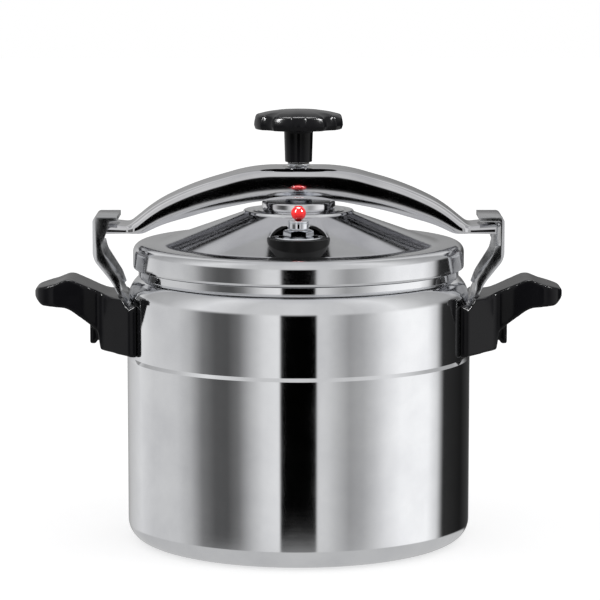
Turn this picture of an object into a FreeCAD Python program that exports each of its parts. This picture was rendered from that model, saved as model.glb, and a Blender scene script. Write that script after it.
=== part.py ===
"""A beam-clamp pressure canner: pot, lid, arched beam with screw and knob, valve and handles."""

import FreeCAD, Part
import math
import os
import re
import Sketcher

Vector = FreeCAD.Vector
doc = FreeCAD.newDocument("beam_clamp_canner")

# Driving sizes in millimetres, degrees and plain counts.
# +Z is up, +X runs through the right-hand handle, and the origin is the middle of the pot's foot.
SIZES = {
    # fits
    "bolt_clearance": 0.05,
    "running_clearance": 0.05,
    "seat_gap": 0.2,
    "loose_gap": 0.4,
    # pot
    "pot_radius": 117.2,
    "mouth_height": 197.2,
    "body_step": 1.2,
    "upper_radius": "pot_radius - body_step",
    "pot_wall": 2.6,
    "base_thickness": 3.4,
    "base_corner": 13.0,
    "ledge_drop": 72.0,
    "ledge_height": "mouth_height - ledge_drop",
    "ledge_rise": 2.3,
    "neck_length": 16.7,
    "neck_height": "mouth_height - neck_length",
    "neck_inset": 8.4,
    "neck_radius": "upper_radius - neck_inset",
    "shoulder_rise": 4.5,
    "shoulder_height": "neck_height - shoulder_rise",
    "shoulder_round": 15.3,
    "notch_step": 0.6,
    "bead_step": 1.6,
    "bead_length": 5.4,
    "mouth_flange": 1.8,
    "mouth_flange_depth": 2.8,
    # gasket and lid
    "gasket_thickness": 3.2,
    "gasket_width": 9.0,
    "lid_overhang": 5.2,
    "lid_radius": "neck_radius + lid_overhang",
    "lid_wall": 2.4,
    "skirt_length": 10.6,
    "skirt_bottom": "mouth_height - skirt_length",
    "lid_shoulder_round": 6.0,
    "lid_ring_width": 17.8,
    "cone_outer_radius": "lid_radius - lid_ring_width",
    "cone_rise": 20.5,
    "boss_radius": 38.0,
    "boss_step": 1.9,
    # thrust dish in the middle of the lid
    "dish_radius": 25.0,
    "dish_height": 5.7,
    "dish_mouth_radius": 22.8,
    "dish_ledge_radius": 21.5,
    "dish_ledge_depth": 1.5,
    "dish_pocket_radius": 14.6,
    "dish_floor": 1.0,
    "spigot_radius": 8.0,
    "dish_nut_radius": 14.0,
    "dish_nut_height": 4.0,
    "seat_thickness": 1.0,
    "trap_ring_thickness": 1.0,
    # screw
    "foot_radius": 13.6,
    "foot_thickness": 1.7,
    "foot_hub_radius": 9.0,
    "foot_hub_height": 3.3,
    "screw_radius": 7.5,
    "screw_tip_radius": 5.5,
    "screw_tip_length": 4.4,
    "screw_head_radius": 5.0,
    # beam
    "beam_rise": 57.6,
    "beam_top": "mouth_height + beam_rise",
    "beam_width": 43.0,
    "beam_wall": 2.5,
    "beam_side_depth": 20.4,
    "beam_corner": 5.5,
    "tongue_inset": 4.0,
    "tongue_width": "beam_width - tongue_inset",
    "tongue_rise": 20.6,
    "tongue_top": "mouth_height + tongue_rise",
    "tongue_depth": 7.2,
    "nut_radius": 10.5,
    "nut_flange_radius": 14.0,
    "nut_flange_thickness": 4.0,
    "nut_length": 13.0,
    "beam_washer_radius": 15.0,
    "beam_washer_thickness": 1.5,
    # knob
    "knob_lift": 3.2,
    "knob_bottom": "beam_top + knob_lift",
    "knob_neck_radius": 9.2,
    "knob_neck_height": 22.5,
    "knob_radius": 31.35,
    "knob_rim_height": 9.5,
    "knob_crown": 4.0,
    "knob_lobes": 8.0,
    "knob_scallop_radius": 12.0,
    "knob_scallop_depth": 2.2,
    "knob_insert_radius": 7.2,
    # hook arms
    "hook_gap": 1.5,
    "hook_under": "tongue_top + hook_gap",
    "hook_thickness": 3.2,
    "hook_margin": 5.0,
    "hook_width": "beam_width + hook_margin",
    "arm_reach": 22.9,
    "arm_web": "upper_radius + arm_reach",
    "hook_overhang": 16.4,
    "hook_tip": "arm_web - hook_overhang",
    "tongue_gap": 5.4,
    "tongue_reach": "arm_web - tongue_gap",
    "arm_wall": 2.5,
    "slope_top_drop": 3.2,
    "arm_slope_top": "mouth_height - slope_top_drop",
    "slope_bottom_drop": 34.2,
    "arm_slope_bottom": "mouth_height - slope_bottom_drop",
    "arm_leg_length": 20.5,
    "arm_leg_bottom": "arm_slope_bottom - arm_leg_length",
    "arm_leg_width": 40.0,
    "arm_leg_thickness": 2.6,
    "arm_opening": 14.8,
    "arm_opening_bottom": "tongue_top - arm_opening",
    "arm_rivet_radius": 2.6,
    "arm_rivet_head": 4.6,
    "arm_rivet_head_height": 1.6,
    "arm_rivet_spread": 24.0,
    "rivet_edge": 5.0,
    "arm_rivet_low": "arm_leg_bottom + rivet_edge",
    "rivet_pitch": 10.0,
    "arm_rivet_high": "arm_rivet_low + rivet_pitch",
    # handles
    "handle_lap": 5.0,
    "handle_top": "arm_slope_bottom + handle_lap",
    "handle_height": 39.3,
    "handle_bottom": "handle_top - handle_height",
    "handle_block_depth": 18.5,
    "handle_reach": 63.4,
    "handle_flange_half": 42.0,
    "handle_block_half": 18.5,
    "grip_half": 21.6,
    "grip_rise": 12.0,
    "grip_hump": "handle_top + grip_rise",
    "grip_drop": 7.6,
    "grip_underside": "handle_top - grip_drop",
    "handle_rib_half": 7.0,
    # handle bracket and its screw
    "bracket_thickness": 2.5,
    "bracket_width": 18.0,
    "bracket_reach": 15.0,
    "bracket_height": 9.8,
    "bracket_top": "handle_bottom + bracket_height",
    "bracket_inset": 1.1,
    "bracket_tab_bottom": "handle_bottom + bracket_inset",
    "bracket_rivet_radius": 1.9,
    "bracket_rivet_spread": 10.0,
    "handle_screw_radius": 2.0,
    "handle_screw_head": 4.0,
    "handle_screw_sink": 3.0,
    # valves on the lid
    "valve_offset": 67.0,
    "pad_rise": 16.1,
    "pad_height": "mouth_height + pad_rise",
    "pad_radius": 18.8,
    "pad_rim": 2.0,
    "pad_depth": 8.6,
    "pipe_radius": 5.0,
    "pipe_bore": 1.6,
    "pipe_drop": 16.6,
    "pipe_bottom": "pad_height - pipe_drop",
    "pipe_rise": 8.4,
    "pipe_top": "pad_height + pipe_rise",
    "washer_radius": 15.5,
    "washer_thickness": 1.0,
    "vent_nut_wall": 3.65,
    "vent_nut_across": "2 * pipe_radius + vent_nut_wall * 2",
    "vent_nut_height": 4.6,
    "lock_nut_height": 3.2,
    "seal_width": 5.0,
    "seal_radius": "pipe_radius + seal_width",
    "seal_thickness": 1.2,
    "cap_margin": 4.0,
    "cap_radius": "pipe_radius + cap_margin",
    "cap_lap": 1.6,
    "cap_bottom": "pipe_bottom - cap_lap",
    "cap_depth": 5.2,
    "cap_wall": 1.0,
    "weight_wall": 1.8,
    "weight_radius": "pipe_radius + weight_wall",
    "weight_cover": 3.5,
    "weight_top": "pipe_top + weight_cover",
    "ball_radius": 4.95,
    "ball_sink": 0.6,
    "ball_stud_radius": 1.5,
    "ball_stud_height": 4.0,
    "plug_radius": 4.0,
    "plug_head_radius": 6.0,
    "plug_head_height": 2.0,
    "plug_seat_radius": 9.0,
    "plug_seat_height": 2.0,
}

sheet = doc.addObject("Spreadsheet::Sheet", "Sizes")
for row, (alias, size) in enumerate(SIZES.items(), 1):
    sheet.set(f"A{row}", alias)
    sheet.set(f"B{row}", f"={size}" if isinstance(size, str) else str(size))
    sheet.setAlias(f"B{row}", alias)
doc.recompute()

nodes = []  # the objects that are written, one file each


# ---------------------------------------------------------------- helpers


def value(rule):
    """The number that a rule in size names gives."""
    return float(sheet.evalExpression(str(rule)))


def bound(rule):
    """The rule with every size name looked up in the sheet, for setExpression."""
    return re.sub(r"\b[a-z]\w*\b(?!\()", lambda name: "Sizes." + name.group(), str(rule))


def keep(thing, label):
    """Gives a finished object its node name and puts it on the list of what is written."""
    thing.Label = label
    nodes.append(thing)
    return thing


def new_body(name):
    return doc.addObject("PartDesign::Body", name)


def plane_of(body, role):
    return next(item for item in body.Origin.OriginFeatures if item.Role == role)


def pin_point(sketch, edge, end, x, y):
    """Holds a sketch point at (x, y), two rules in size names."""
    for kind, axis, rule in (("DistanceX", -2, x), ("DistanceY", -1, y)):
        if str(rule) == "0":
            sketch.addConstraint(Sketcher.Constraint("PointOnObject", edge, end, axis))
        else:
            number = sketch.addConstraint(Sketcher.Constraint(kind, edge, end, value(rule)))
            sketch.setExpression(f"Constraints[{number}]", bound(rule))


def round_corner(before, here, after, radius):
    """The two tangent points, the centre and the turning sense of a rounded corner."""
    back = (before - here).normalize()
    ahead = (after - here).normalize()
    half = back.getAngle(ahead) / 2
    reach = radius / math.tan(half)
    centre = here + (back + ahead).normalize() * (radius / math.sin(half))
    left_turn = back.cross(ahead).z < 0
    return here + back * reach, here + ahead * reach, centre, left_turn


def outline(body, name, role, corners):
    """A closed outline in a sketch. Each corner is (x, y) or (x, y, round), as rules in size names."""
    sketch = body.newObject("Sketcher::SketchObject", name)
    sketch.AttachmentSupport = (plane_of(body, role), [""])
    sketch.MapMode = "FlatFace"
    corners = [tuple(corner) + (None,) * (3 - len(corner)) for corner in corners]
    places = [Vector(value(x), value(y), 0) for x, y, _ in corners]
    count = len(corners)
    arcs = {}
    for i, (_, _, radius) in enumerate(corners):
        if radius is not None:
            arcs[i] = round_corner(places[i - 1], places[i], places[(i + 1) % count], value(radius))
    for i in range(count):
        after = (i + 1) % count
        start = arcs[i][1] if i in arcs else places[i]
        end = arcs[after][0] if after in arcs else places[after]
        sketch.addGeometry(Part.LineSegment(start, end))
    for i in range(count):
        if i not in arcs:
            sketch.addConstraint(Sketcher.Constraint("Coincident", (i - 1) % count, 2, i, 1))
            pin_point(sketch, i, 1, *corners[i][:2])
            continue
        entry, leave, centre, left_turn = arcs[i]
        radius = value(corners[i][2])
        first, last = (entry, leave) if left_turn else (leave, entry)
        angles = [math.atan2(p.y - centre.y, p.x - centre.x) for p in (first, last)]
        if angles[1] < angles[0]:
            angles[1] += 2 * math.pi
        circle = Part.Circle(centre, Vector(0, 0, 1), radius)
        arc = sketch.addGeometry(Part.ArcOfCircle(circle, *angles))
        corner = sketch.addGeometry(Part.Point(places[i]), True)
        entry_end, leave_end = (1, 2) if left_turn else (2, 1)
        sketch.addConstraint(Sketcher.Constraint("Tangent", (i - 1) % count, 2, arc, entry_end))
        sketch.addConstraint(Sketcher.Constraint("Tangent", i, 1, arc, leave_end))
        sketch.addConstraint(Sketcher.Constraint("PointOnObject", corner, 1, (i - 1) % count))
        sketch.addConstraint(Sketcher.Constraint("PointOnObject", corner, 1, i))
        pin_point(sketch, corner, 1, *corners[i][:2])
        number = sketch.addConstraint(Sketcher.Constraint("Radius", arc, radius))
        sketch.setExpression(f"Constraints[{number}]", bound(corners[i][2]))
    return sketch


def circle_sketch(body, name, role, x, y, radius):
    """One circle in a sketch, its place and radius bound to the sheet."""
    sketch = body.newObject("Sketcher::SketchObject", name)
    sketch.AttachmentSupport = (plane_of(body, role), [""])
    sketch.MapMode = "FlatFace"
    middle = Vector(value(x), value(y), 0)
    sketch.addGeometry(Part.Circle(middle, Vector(0, 0, 1), value(radius)))
    pin_point(sketch, 0, 3, x, y)
    number = sketch.addConstraint(Sketcher.Constraint("Radius", 0, value(radius)))
    sketch.setExpression(f"Constraints[{number}]", bound(radius))
    return sketch


def turned(name, corners):
    """A body turned about the Z axis from an outline of (radius, height) corners."""
    body = new_body(name)
    sketch = outline(body, name + "_outline", "XZ_Plane", corners)
    turn = body.newObject("PartDesign::Revolution", name + "_turn")
    turn.Profile = sketch
    turn.ReferenceAxis = (sketch, ["V_Axis"])
    turn.Angle = 360
    sketch.Visibility = False
    return body


def pad(body, sketch, length, symmetric=True):
    """Pads a sketch, to both sides alike or away from its plane."""
    feature = body.newObject("PartDesign::Pad", sketch.Name + "_pad")
    feature.Profile = sketch
    feature.SideType = "Symmetric" if symmetric else "One side"
    feature.setExpression("Length", bound(length))
    return feature


def pocket(body, sketch, length):
    """Cuts a sketch through the body, to both sides alike."""
    feature = body.newObject("PartDesign::Pocket", sketch.Name + "_pocket")
    feature.Profile = sketch
    feature.SideType = "Symmetric"
    feature.setExpression("Length", bound(length))
    return feature


def slab(name, corners, width):
    """A body padded to both sides of the XZ plane from a side outline."""
    body = new_body(name)
    pad(body, outline(body, name + "_outline", "XZ_Plane", corners), width)
    return body


def place(thing, x="0", y="0", z="0", axis=None, angle=0):
    """Sets where an object stands: rules for its place, and a fixed turn about an axis."""
    if axis is not None:
        thing.Placement = FreeCAD.Placement(Vector(), FreeCAD.Rotation(axis, angle))
    for name, rule in (("x", x), ("y", y), ("z", z)):
        if str(rule) != "0":
            thing.setExpression("Placement.Base." + name, bound(rule))
    return thing


def rod(name, radius, length, **where):
    """A cylinder from its base, along Z or along the axis that its turn gives."""
    cylinder = doc.addObject("Part::Cylinder", name)
    cylinder.setExpression("Radius", bound(radius))
    cylinder.setExpression("Height", bound(length))
    return place(cylinder, **where)


def box(name, length, width, height, x, y, z):
    """A box that stands with its corner at (x, y, z)."""
    block = doc.addObject("Part::Box", name)
    block.setExpression("Length", bound(length))
    block.setExpression("Width", bound(width))
    block.setExpression("Height", bound(height))
    return place(block, x, y, z)


def joined(name, things):
    fuse = doc.addObject("Part::MultiFuse", name)
    fuse.Shapes = things
    fuse.Refine = True
    return fuse


def common(name, things):
    shared = doc.addObject("Part::MultiCommon", name)
    shared.Shapes = things
    return shared


def cut(name, base, tool):
    less = doc.addObject("Part::Cut", name)
    less.Base = base
    less.Tool = tool
    less.Refine = True
    return less


def group(name, things):
    """Separate solids under one name, as for a set of the same fastener."""
    compound = doc.addObject("Part::Compound", name)
    compound.Links = things
    return compound


ALONG_X = {"axis": Vector(0, 1, 0), "angle": 90}
SIDES = (("right", 1), ("left", -1))


def half_turn(label, source, side):
    """The right-hand piece itself, or its copy turned half round about Z for the left."""
    copy = doc.addObject("Part::Compound", label)
    copy.Links = [source]
    if side < 0:
        copy.Placement = FreeCAD.Placement(Vector(), FreeCAD.Rotation(Vector(0, 0, 1), 180))
    return copy


# ---------------------------------------------------------------- rivets and their holes


def arm_rivet_places():
    """The places of one arm's rivets: (y, z) rules."""
    return [
        (f"{sign} * arm_rivet_spread / 2", height)
        for sign in (-1, 1)
        for height in ("arm_rivet_low", "arm_rivet_high")
    ]


def bracket_rivet_places():
    """The places of one handle bracket's rivets: (y, z) rules."""
    height = "(bracket_top - bracket_thickness + bracket_tab_bottom) / 2"
    return [(f"{sign} * bracket_rivet_spread / 2", height) for sign in (-1, 1)]


def rivet_holes(name, places, radius):
    """Rods along X through both sides of the pot, to be cut away for the rivets."""
    reach = "upper_radius + arm_leg_thickness + arm_rivet_head_height * 4"
    return [
        rod(f"{name}_{i}", f"{radius} + bolt_clearance", f"2 * ({reach})",
            x=f"-({reach})", y=y, z=z, **ALONG_X)
        for i, (y, z) in enumerate(places)
    ]


def rivets(name, places, radius, head, head_height, outer, side):
    """Rivets along X through the pot's wall, with a head inside and a head outside."""
    made = []
    direction = {"axis": Vector(0, 1, 0), "angle": 90 * side}
    for i, (y, z) in enumerate(places):
        inner = f"sqrt(pow(upper_radius - pot_wall; 2) - pow(abs({y}) + {head}; 2))"
        shank = rod(f"{name}_{i}_shank", radius, f"{outer} + {head_height} - ({inner}) + {head_height}",
                    x=f"{side} * ({inner} - {head_height})", y=y, z=z, **direction)
        outer_head = rod(f"{name}_{i}_outer", head, head_height,
                         x=f"{side} * ({outer})", y=y, z=z, **direction)
        inner_head = rod(f"{name}_{i}_inner", head, head_height,
                         x=f"{side} * ({inner} - {head_height})", y=y, z=z, **direction)
        made.append(joined(f"{name}_{i}", [shank, outer_head, inner_head]))
    return made


# ---------------------------------------------------------------- pot

pot_shell = turned("pot_shell", [
    ("0", "0"),
    ("pot_radius", "0", "base_corner"),
    ("pot_radius", "ledge_height"),
    ("upper_radius", "ledge_height + ledge_rise"),
    ("upper_radius", "shoulder_height", "shoulder_round"),
    ("neck_radius + notch_step", "neck_height"),
    ("neck_radius + bead_step", "neck_height + 0.6"),
    ("neck_radius + bead_step", "neck_height + bead_length"),
    ("neck_radius", "neck_height + bead_length + 0.7"),
    ("neck_radius", "mouth_height - mouth_flange_depth"),
    ("neck_radius + mouth_flange", "mouth_height - mouth_flange_depth"),
    ("neck_radius + mouth_flange", "mouth_height"),
    ("neck_radius - pot_wall", "mouth_height"),
    ("neck_radius - pot_wall", "neck_height - 0.44 * pot_wall"),
    ("upper_radius - pot_wall", "shoulder_height - 0.58 * pot_wall", "shoulder_round - pot_wall"),
    ("upper_radius - pot_wall", "ledge_height + ledge_rise"),
    ("pot_radius - pot_wall", "ledge_height"),
    ("pot_radius - pot_wall", "base_thickness", "base_corner - pot_wall"),
    ("0", "base_thickness"),
])
pot_holes = rivet_holes("arm_hole", arm_rivet_places(), "arm_rivet_radius")
pot_holes += rivet_holes("bracket_hole", bracket_rivet_places(), "bracket_rivet_radius")
keep(cut("pot_body_cut", pot_shell, joined("pot_holes", pot_holes)), "pot_body")

# What stands against the pot's wall is cut to this cylinder.
pot_envelope = rod("pot_envelope", "upper_radius", "shoulder_height")


# ---------------------------------------------------------------- hook arms

ARM_BEND = ("arm_web - 12.9", "arm_slope_top - 16", "40")
ARM_FOOT = ("upper_radius + arm_leg_thickness", "arm_slope_bottom")
FLANGE_TAIL = [
    ("arm_web", "arm_slope_top", "14"),
    ARM_BEND,
    ("arm_web - 16.7", "arm_slope_top - 23.7"),
    ("arm_web - 20", "arm_slope_top - 20.5"),
    ("arm_web - 17.4", "arm_slope_top - 13", "20"),
    ("arm_web - 7.4", "arm_slope_top + 3", "12"),
    ("arm_web - 6", "arm_opening_bottom"),
]


def side_plate(name, corners, sign):
    """One turned-in side of a hook arm, as thick as the arm's sheet."""
    body = new_body(name)
    pad(body, outline(body, name + "_outline", "XZ_Plane", corners), "arm_wall")
    return place(body, y=f"{sign} * (hook_width - arm_wall) / 2")


def hook_arm():
    """The right-hand arm: hook plate, web, one full side plate on +Y and a low one on -Y."""
    web = slab("arm_sheet", [
        ("hook_tip", "hook_under + hook_thickness"),
        ("hook_tip", "hook_under"),
        ("arm_web - arm_wall", "hook_under", "1.2"),
        ("arm_web - arm_wall", "arm_slope_top + 0.8", "14 - arm_wall"),
        ("arm_web - 12.9 - arm_wall * 0.9", "arm_slope_top - 14.9", "40 + arm_wall"),
        ("upper_radius + arm_leg_thickness - arm_wall", "arm_slope_bottom + 0.7"),
        ("upper_radius + arm_leg_thickness", "arm_slope_bottom"),
        ARM_BEND,
        ("arm_web", "arm_slope_top", "14"),
        ("arm_web", "hook_under + hook_thickness", "hook_thickness"),
    ], "hook_width")
    leg = box("arm_leg", "arm_leg_thickness + 6", "arm_leg_width",
              "arm_slope_bottom + 0.7 - arm_leg_bottom",
              "upper_radius - 6", "-arm_leg_width / 2", "arm_leg_bottom")
    closed = side_plate("arm_closed_side", [
        ("arm_web - 12", "hook_under"), ("arm_web", "hook_under"), *FLANGE_TAIL], 1)
    low = side_plate("arm_low_side", [("arm_web", "arm_opening_bottom"), *FLANGE_TAIL], -1)
    whole = joined("arm_whole", [web, leg, closed, low])
    holes = rivet_holes("arm_leg_hole", arm_rivet_places(), "arm_rivet_radius")
    return cut("arm_trimmed", whole, joined("arm_cutters", [pot_envelope, *holes]))


right_arm = hook_arm()
for side_name, side in SIDES:
    keep(half_turn(f"arm_{side_name}", right_arm, side), f"hook_arm_{side_name}")
arm_rivet_list = []
for side_name, side in SIDES:
    arm_rivet_list += rivets(f"arm_rivet_{side_name}", arm_rivet_places(), "arm_rivet_radius",
                             "arm_rivet_head", "arm_rivet_head_height",
                             "upper_radius + arm_leg_thickness", side)
keep(group("arm_rivet_set", arm_rivet_list), "arm_rivets")


# ---------------------------------------------------------------- handles

BRACKET_FLOOR = "bracket_top - bracket_thickness"
SCREW_X = "upper_radius + bracket_reach * 0.66"


def handle_bracket():
    """A bent strip: a tab riveted to the pot and a shelf that the handle is screwed to."""
    bracket = slab("bracket_strip", [
        ("upper_radius - 2", "bracket_tab_bottom"),
        ("upper_radius + bracket_thickness", "bracket_tab_bottom"),
        ("upper_radius + bracket_thickness", BRACKET_FLOOR),
        ("upper_radius + bracket_reach", BRACKET_FLOOR),
        ("upper_radius + bracket_reach", "bracket_top"),
        ("upper_radius - 2", "bracket_top"),
    ], "bracket_width")
    hole = rod("bracket_screw_hole", "handle_screw_radius + bolt_clearance", "bracket_thickness * 3",
               x=SCREW_X, z=f"{BRACKET_FLOOR} - bracket_thickness")
    holes = rivet_holes("bracket_tab_hole", bracket_rivet_places(), "bracket_rivet_radius")
    return cut("bracket_trimmed", bracket, joined("bracket_cutters", [pot_envelope, hole, *holes]))


def handle_moulding():
    """The right-hand handle: a tapered block against the pot, a grip above it and a rib between."""
    side_view = slab("handle_side", [
        ("upper_radius - 12", "handle_bottom"),
        ("upper_radius + handle_block_depth", "handle_bottom + 2.7", "1.5"),
        ("upper_radius + handle_block_depth + 2", "grip_underside - 16", "3"),
        ("upper_radius + handle_block_depth + 8.5", "grip_underside - 10.4"),
        ("upper_radius + handle_block_depth + 22", "grip_underside - 0.4", "14"),
        ("upper_radius + handle_reach - 5", "grip_underside + 1.2", "3"),
        ("upper_radius + handle_reach", "grip_underside + 6", "4"),
        ("upper_radius + handle_reach", "grip_underside + 12.5", "3"),
        ("upper_radius + handle_reach - 14.4", "grip_hump - 3.4", "4"),
        ("upper_radius + handle_reach - 23.4", "grip_hump + 0.4", "9"),
        ("upper_radius + 12", "handle_top + 0.3", "20"),
        ("upper_radius + 2.6", "handle_top"),
        ("upper_radius - 2", "handle_top - 6"),
        ("upper_radius - 9", "handle_top - 2"),
        ("upper_radius - 12", "handle_top - 2"),
    ], "2 * handle_flange_half + 10")
    plan = new_body("handle_plan")
    upper = [
        ("upper_radius - 12", "handle_flange_half"),
        ("upper_radius - 2", "handle_flange_half - 1"),
        ("upper_radius + handle_block_depth", "handle_block_half + 1", "6"),
        ("upper_radius + handle_block_depth + 12", "grip_half", "12"),
        ("upper_radius + handle_reach - 5", "grip_half", "13"),
        ("upper_radius + handle_reach", "grip_half - 12", "5"),
    ]
    lower = [(x, f"-({y})", *rest) for x, y, *rest in reversed(upper)]
    pad(plan, outline(plan, "handle_plan_outline", "XY_Plane", upper + lower),
        "2 * grip_hump", symmetric=True)
    moulding = common("handle_blank", [side_view, plan])
    rib = box("handle_rib", "4.5", "2 * handle_rib_half", "grip_underside - handle_bottom - 4.7",
              "upper_radius + handle_block_depth + 3.5", "-handle_rib_half", "handle_bottom + 5")
    rib_bridge = box("handle_rib_bridge", "6", "2 * handle_rib_half", "10",
                     "upper_radius + handle_block_depth - 1", "-handle_rib_half",
                     "grip_underside - 24")
    gap = "loose_gap"
    arm_slot = box("handle_arm_slot", f"arm_leg_thickness + {gap} + 6", f"hook_width + 2 * {gap}",
                   f"handle_top + 20 - arm_slope_bottom + {gap}", "upper_radius - 6",
                   f"-hook_width / 2 - {gap}", f"arm_slope_bottom - {gap}")
    leg_slot = box("handle_leg_slot",
                   f"arm_leg_thickness + arm_rivet_head_height + {gap} + 8",
                   f"arm_leg_width + 2 * {gap}",
                   f"handle_top + 20 - arm_leg_bottom + {gap}", "upper_radius - 8",
                   f"-arm_leg_width / 2 - {gap}", f"arm_leg_bottom - {gap}")
    notch = slab("handle_arm_notch", [
        ("upper_radius - 6", f"arm_slope_bottom - {gap}"),
        (f"upper_radius + arm_leg_thickness + {gap}", f"arm_slope_bottom - {gap}"),
        (f"upper_radius + arm_leg_thickness + {gap} + 7.2", "arm_slope_bottom + 14.4"),
        ("upper_radius - 6", "arm_slope_bottom + 14.4"),
    ], f"hook_width + 2 * {gap}")
    tab_slot = box("handle_tab_slot", f"bracket_thickness + arm_rivet_head_height + {gap} + 8",
                   f"bracket_width + 2 * {gap}", f"bracket_top + {gap} - bracket_tab_bottom + {gap}",
                   "upper_radius - 8", f"-bracket_width / 2 - {gap}",
                   f"bracket_tab_bottom - {gap}")
    shelf_slot = box("handle_shelf_slot", f"bracket_reach + {gap} + 8", f"bracket_width + 2 * {gap}",
                     f"bracket_thickness + {gap}", "upper_radius - 8",
                     f"-bracket_width / 2 - {gap}", BRACKET_FLOOR)
    screw_way = rod("handle_screw_way", "handle_screw_radius + bolt_clearance", "bracket_top + 6",
                    x=SCREW_X)
    head_way = rod("handle_head_way", f"handle_screw_head + {gap}",
                   "handle_bottom + handle_screw_sink + 1", x=SCREW_X)
    wall = rod("handle_pot_clear", "upper_radius + bolt_clearance", "grip_hump")
    cutters = [arm_slot, leg_slot, notch, tab_slot, shelf_slot, screw_way, head_way, wall]
    whole = joined("handle_solid", [moulding, rib, rib_bridge])
    return cut("handle_trimmed", whole, joined("handle_cutters", cutters))


right_handle = handle_moulding()
right_bracket = handle_bracket()
for side_name, side in SIDES:
    keep(half_turn(f"moulding_{side_name}", right_handle, side), f"handle_{side_name}")
    keep(half_turn(f"bracket_{side_name}", right_bracket, side), f"handle_bracket_{side_name}")
bracket_rivet_list = []
for side_name, side in SIDES:
    bracket_rivet_list += rivets(f"bracket_rivet_{side_name}", bracket_rivet_places(),
                                 "bracket_rivet_radius", "bracket_rivet_radius * 1.6",
                                 "arm_rivet_head_height * 0.8",
                                 "upper_radius + bracket_thickness", side)
keep(group("bracket_rivet_set", bracket_rivet_list), "bracket_rivets")

HEAD_SEAT = "handle_bottom + handle_screw_sink + 1"


def handle_screw(name, side):
    """A screw that comes up from below, its head in the block's counterbore."""
    x = f"{side} * ({SCREW_X})"
    head = rod(name + "_head", "handle_screw_head", "2.2", x=x, z=f"{HEAD_SEAT} - 0.8 - 2.2")
    shank = rod(name + "_shank", "handle_screw_radius", f"bracket_top + 4 - ({HEAD_SEAT} - 0.8)",
                x=x, z=f"{HEAD_SEAT} - 0.8")
    return joined(name, [head, shank])


def spring_washer(name, side):
    """The washer between a handle screw's head and the block."""
    x = f"{side} * ({SCREW_X})"
    disc = rod(name + "_disc", "handle_screw_head - 0.2", "0.8", x=x, z=f"{HEAD_SEAT} - 0.8")
    hole = rod(name + "_hole", "handle_screw_radius + bolt_clearance", "2.8", x=x,
               z=f"{HEAD_SEAT} - 1.8")
    return cut(name, disc, hole)


keep(group("screw_set", [handle_screw(f"screw_{n}", s) for n, s in SIDES]), "handle_screws")
keep(group("washer_set", [spring_washer(f"washer_{n}", s) for n, s in SIDES]), "handle_washers")


# ---------------------------------------------------------------- gasket and lid

GASKET_BOTTOM = "mouth_height + seat_gap"
GASKET_TOP = "mouth_height + seat_gap + gasket_thickness"
LID_UNDER = "mouth_height + 2 * seat_gap + gasket_thickness"
LID_RING = f"{LID_UNDER} + lid_wall"
CONE_TOP = f"{LID_RING} + cone_rise"
BOSS_TOP = f"{CONE_TOP} + boss_step"
GASKET_OUTER = "neck_radius + mouth_flange - 0.4"

keep(turned("gasket_ring", [
    (f"{GASKET_OUTER} - gasket_width", GASKET_BOTTOM),
    (GASKET_OUTER, GASKET_BOTTOM, "0.8"),
    (GASKET_OUTER, GASKET_TOP, "0.8"),
    (f"{GASKET_OUTER} - gasket_width", GASKET_TOP),
]), "lid_gasket")

LID_OUTSIDE = [
    ("lid_radius", "skirt_bottom", "1.1"),
    ("lid_radius", LID_RING, "lid_shoulder_round"),
    ("cone_outer_radius", LID_RING, "20"),
    ("boss_radius", CONE_TOP, "3"),
    ("boss_radius - 0.8", BOSS_TOP, "0.8"),
]
lid_sheet = turned("lid_sheet", [
    ("lid_radius - lid_wall", "skirt_bottom"),
    *LID_OUTSIDE,
    ("spigot_radius + bolt_clearance", BOSS_TOP),
    ("spigot_radius + bolt_clearance", f"{BOSS_TOP} - lid_wall"),
    ("boss_radius - 2", f"{BOSS_TOP} - lid_wall"),
    ("cone_outer_radius", LID_UNDER, "20"),
    ("lid_radius - lid_wall", LID_UNDER, "2"),
])
lid_block = turned("lid_block", [("0", "skirt_bottom"), *LID_OUTSIDE, ("0", BOSS_TOP)])


def valve_pad(name, sign):
    """What a valve's flat pad adds to the lid, and what it takes away."""
    y = f"{sign} * valve_offset"
    column = rod(name + "_column", "pad_radius + pad_rim", "pad_height", y=y,
                 z="pad_height - pad_depth")
    rise = common(name + "_rise", [column, lid_block])
    foot = rod(name + "_foot", "pad_radius + pad_rim", "pad_depth", y=y,
               z="pad_height - pad_depth")
    clear = rod(name + "_clear", "pad_radius", "pad_height", y=y, z="pad_height")
    return [rise, foot], clear


vent_adds, vent_clear = valve_pad("vent_pad", -1)
plug_adds, plug_clear = valve_pad("plug_pad", 1)
vent_hole = rod("vent_hole", "pipe_radius + bolt_clearance", "pad_height", y="-valve_offset",
                z="pipe_bottom - 10")
plug_hole = rod("plug_hole", "plug_radius + bolt_clearance", "pad_height", y="valve_offset",
                z="pipe_bottom - 10")
lid_whole = joined("lid_whole", [lid_sheet, *vent_adds, *plug_adds])
lid_cutters = joined("lid_cutters", [vent_clear, plug_clear, vent_hole, plug_hole])
keep(cut("lid_cut", lid_whole, lid_cutters), "lid_shell")


# ---------------------------------------------------------------- thrust dish and screw foot

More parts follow.
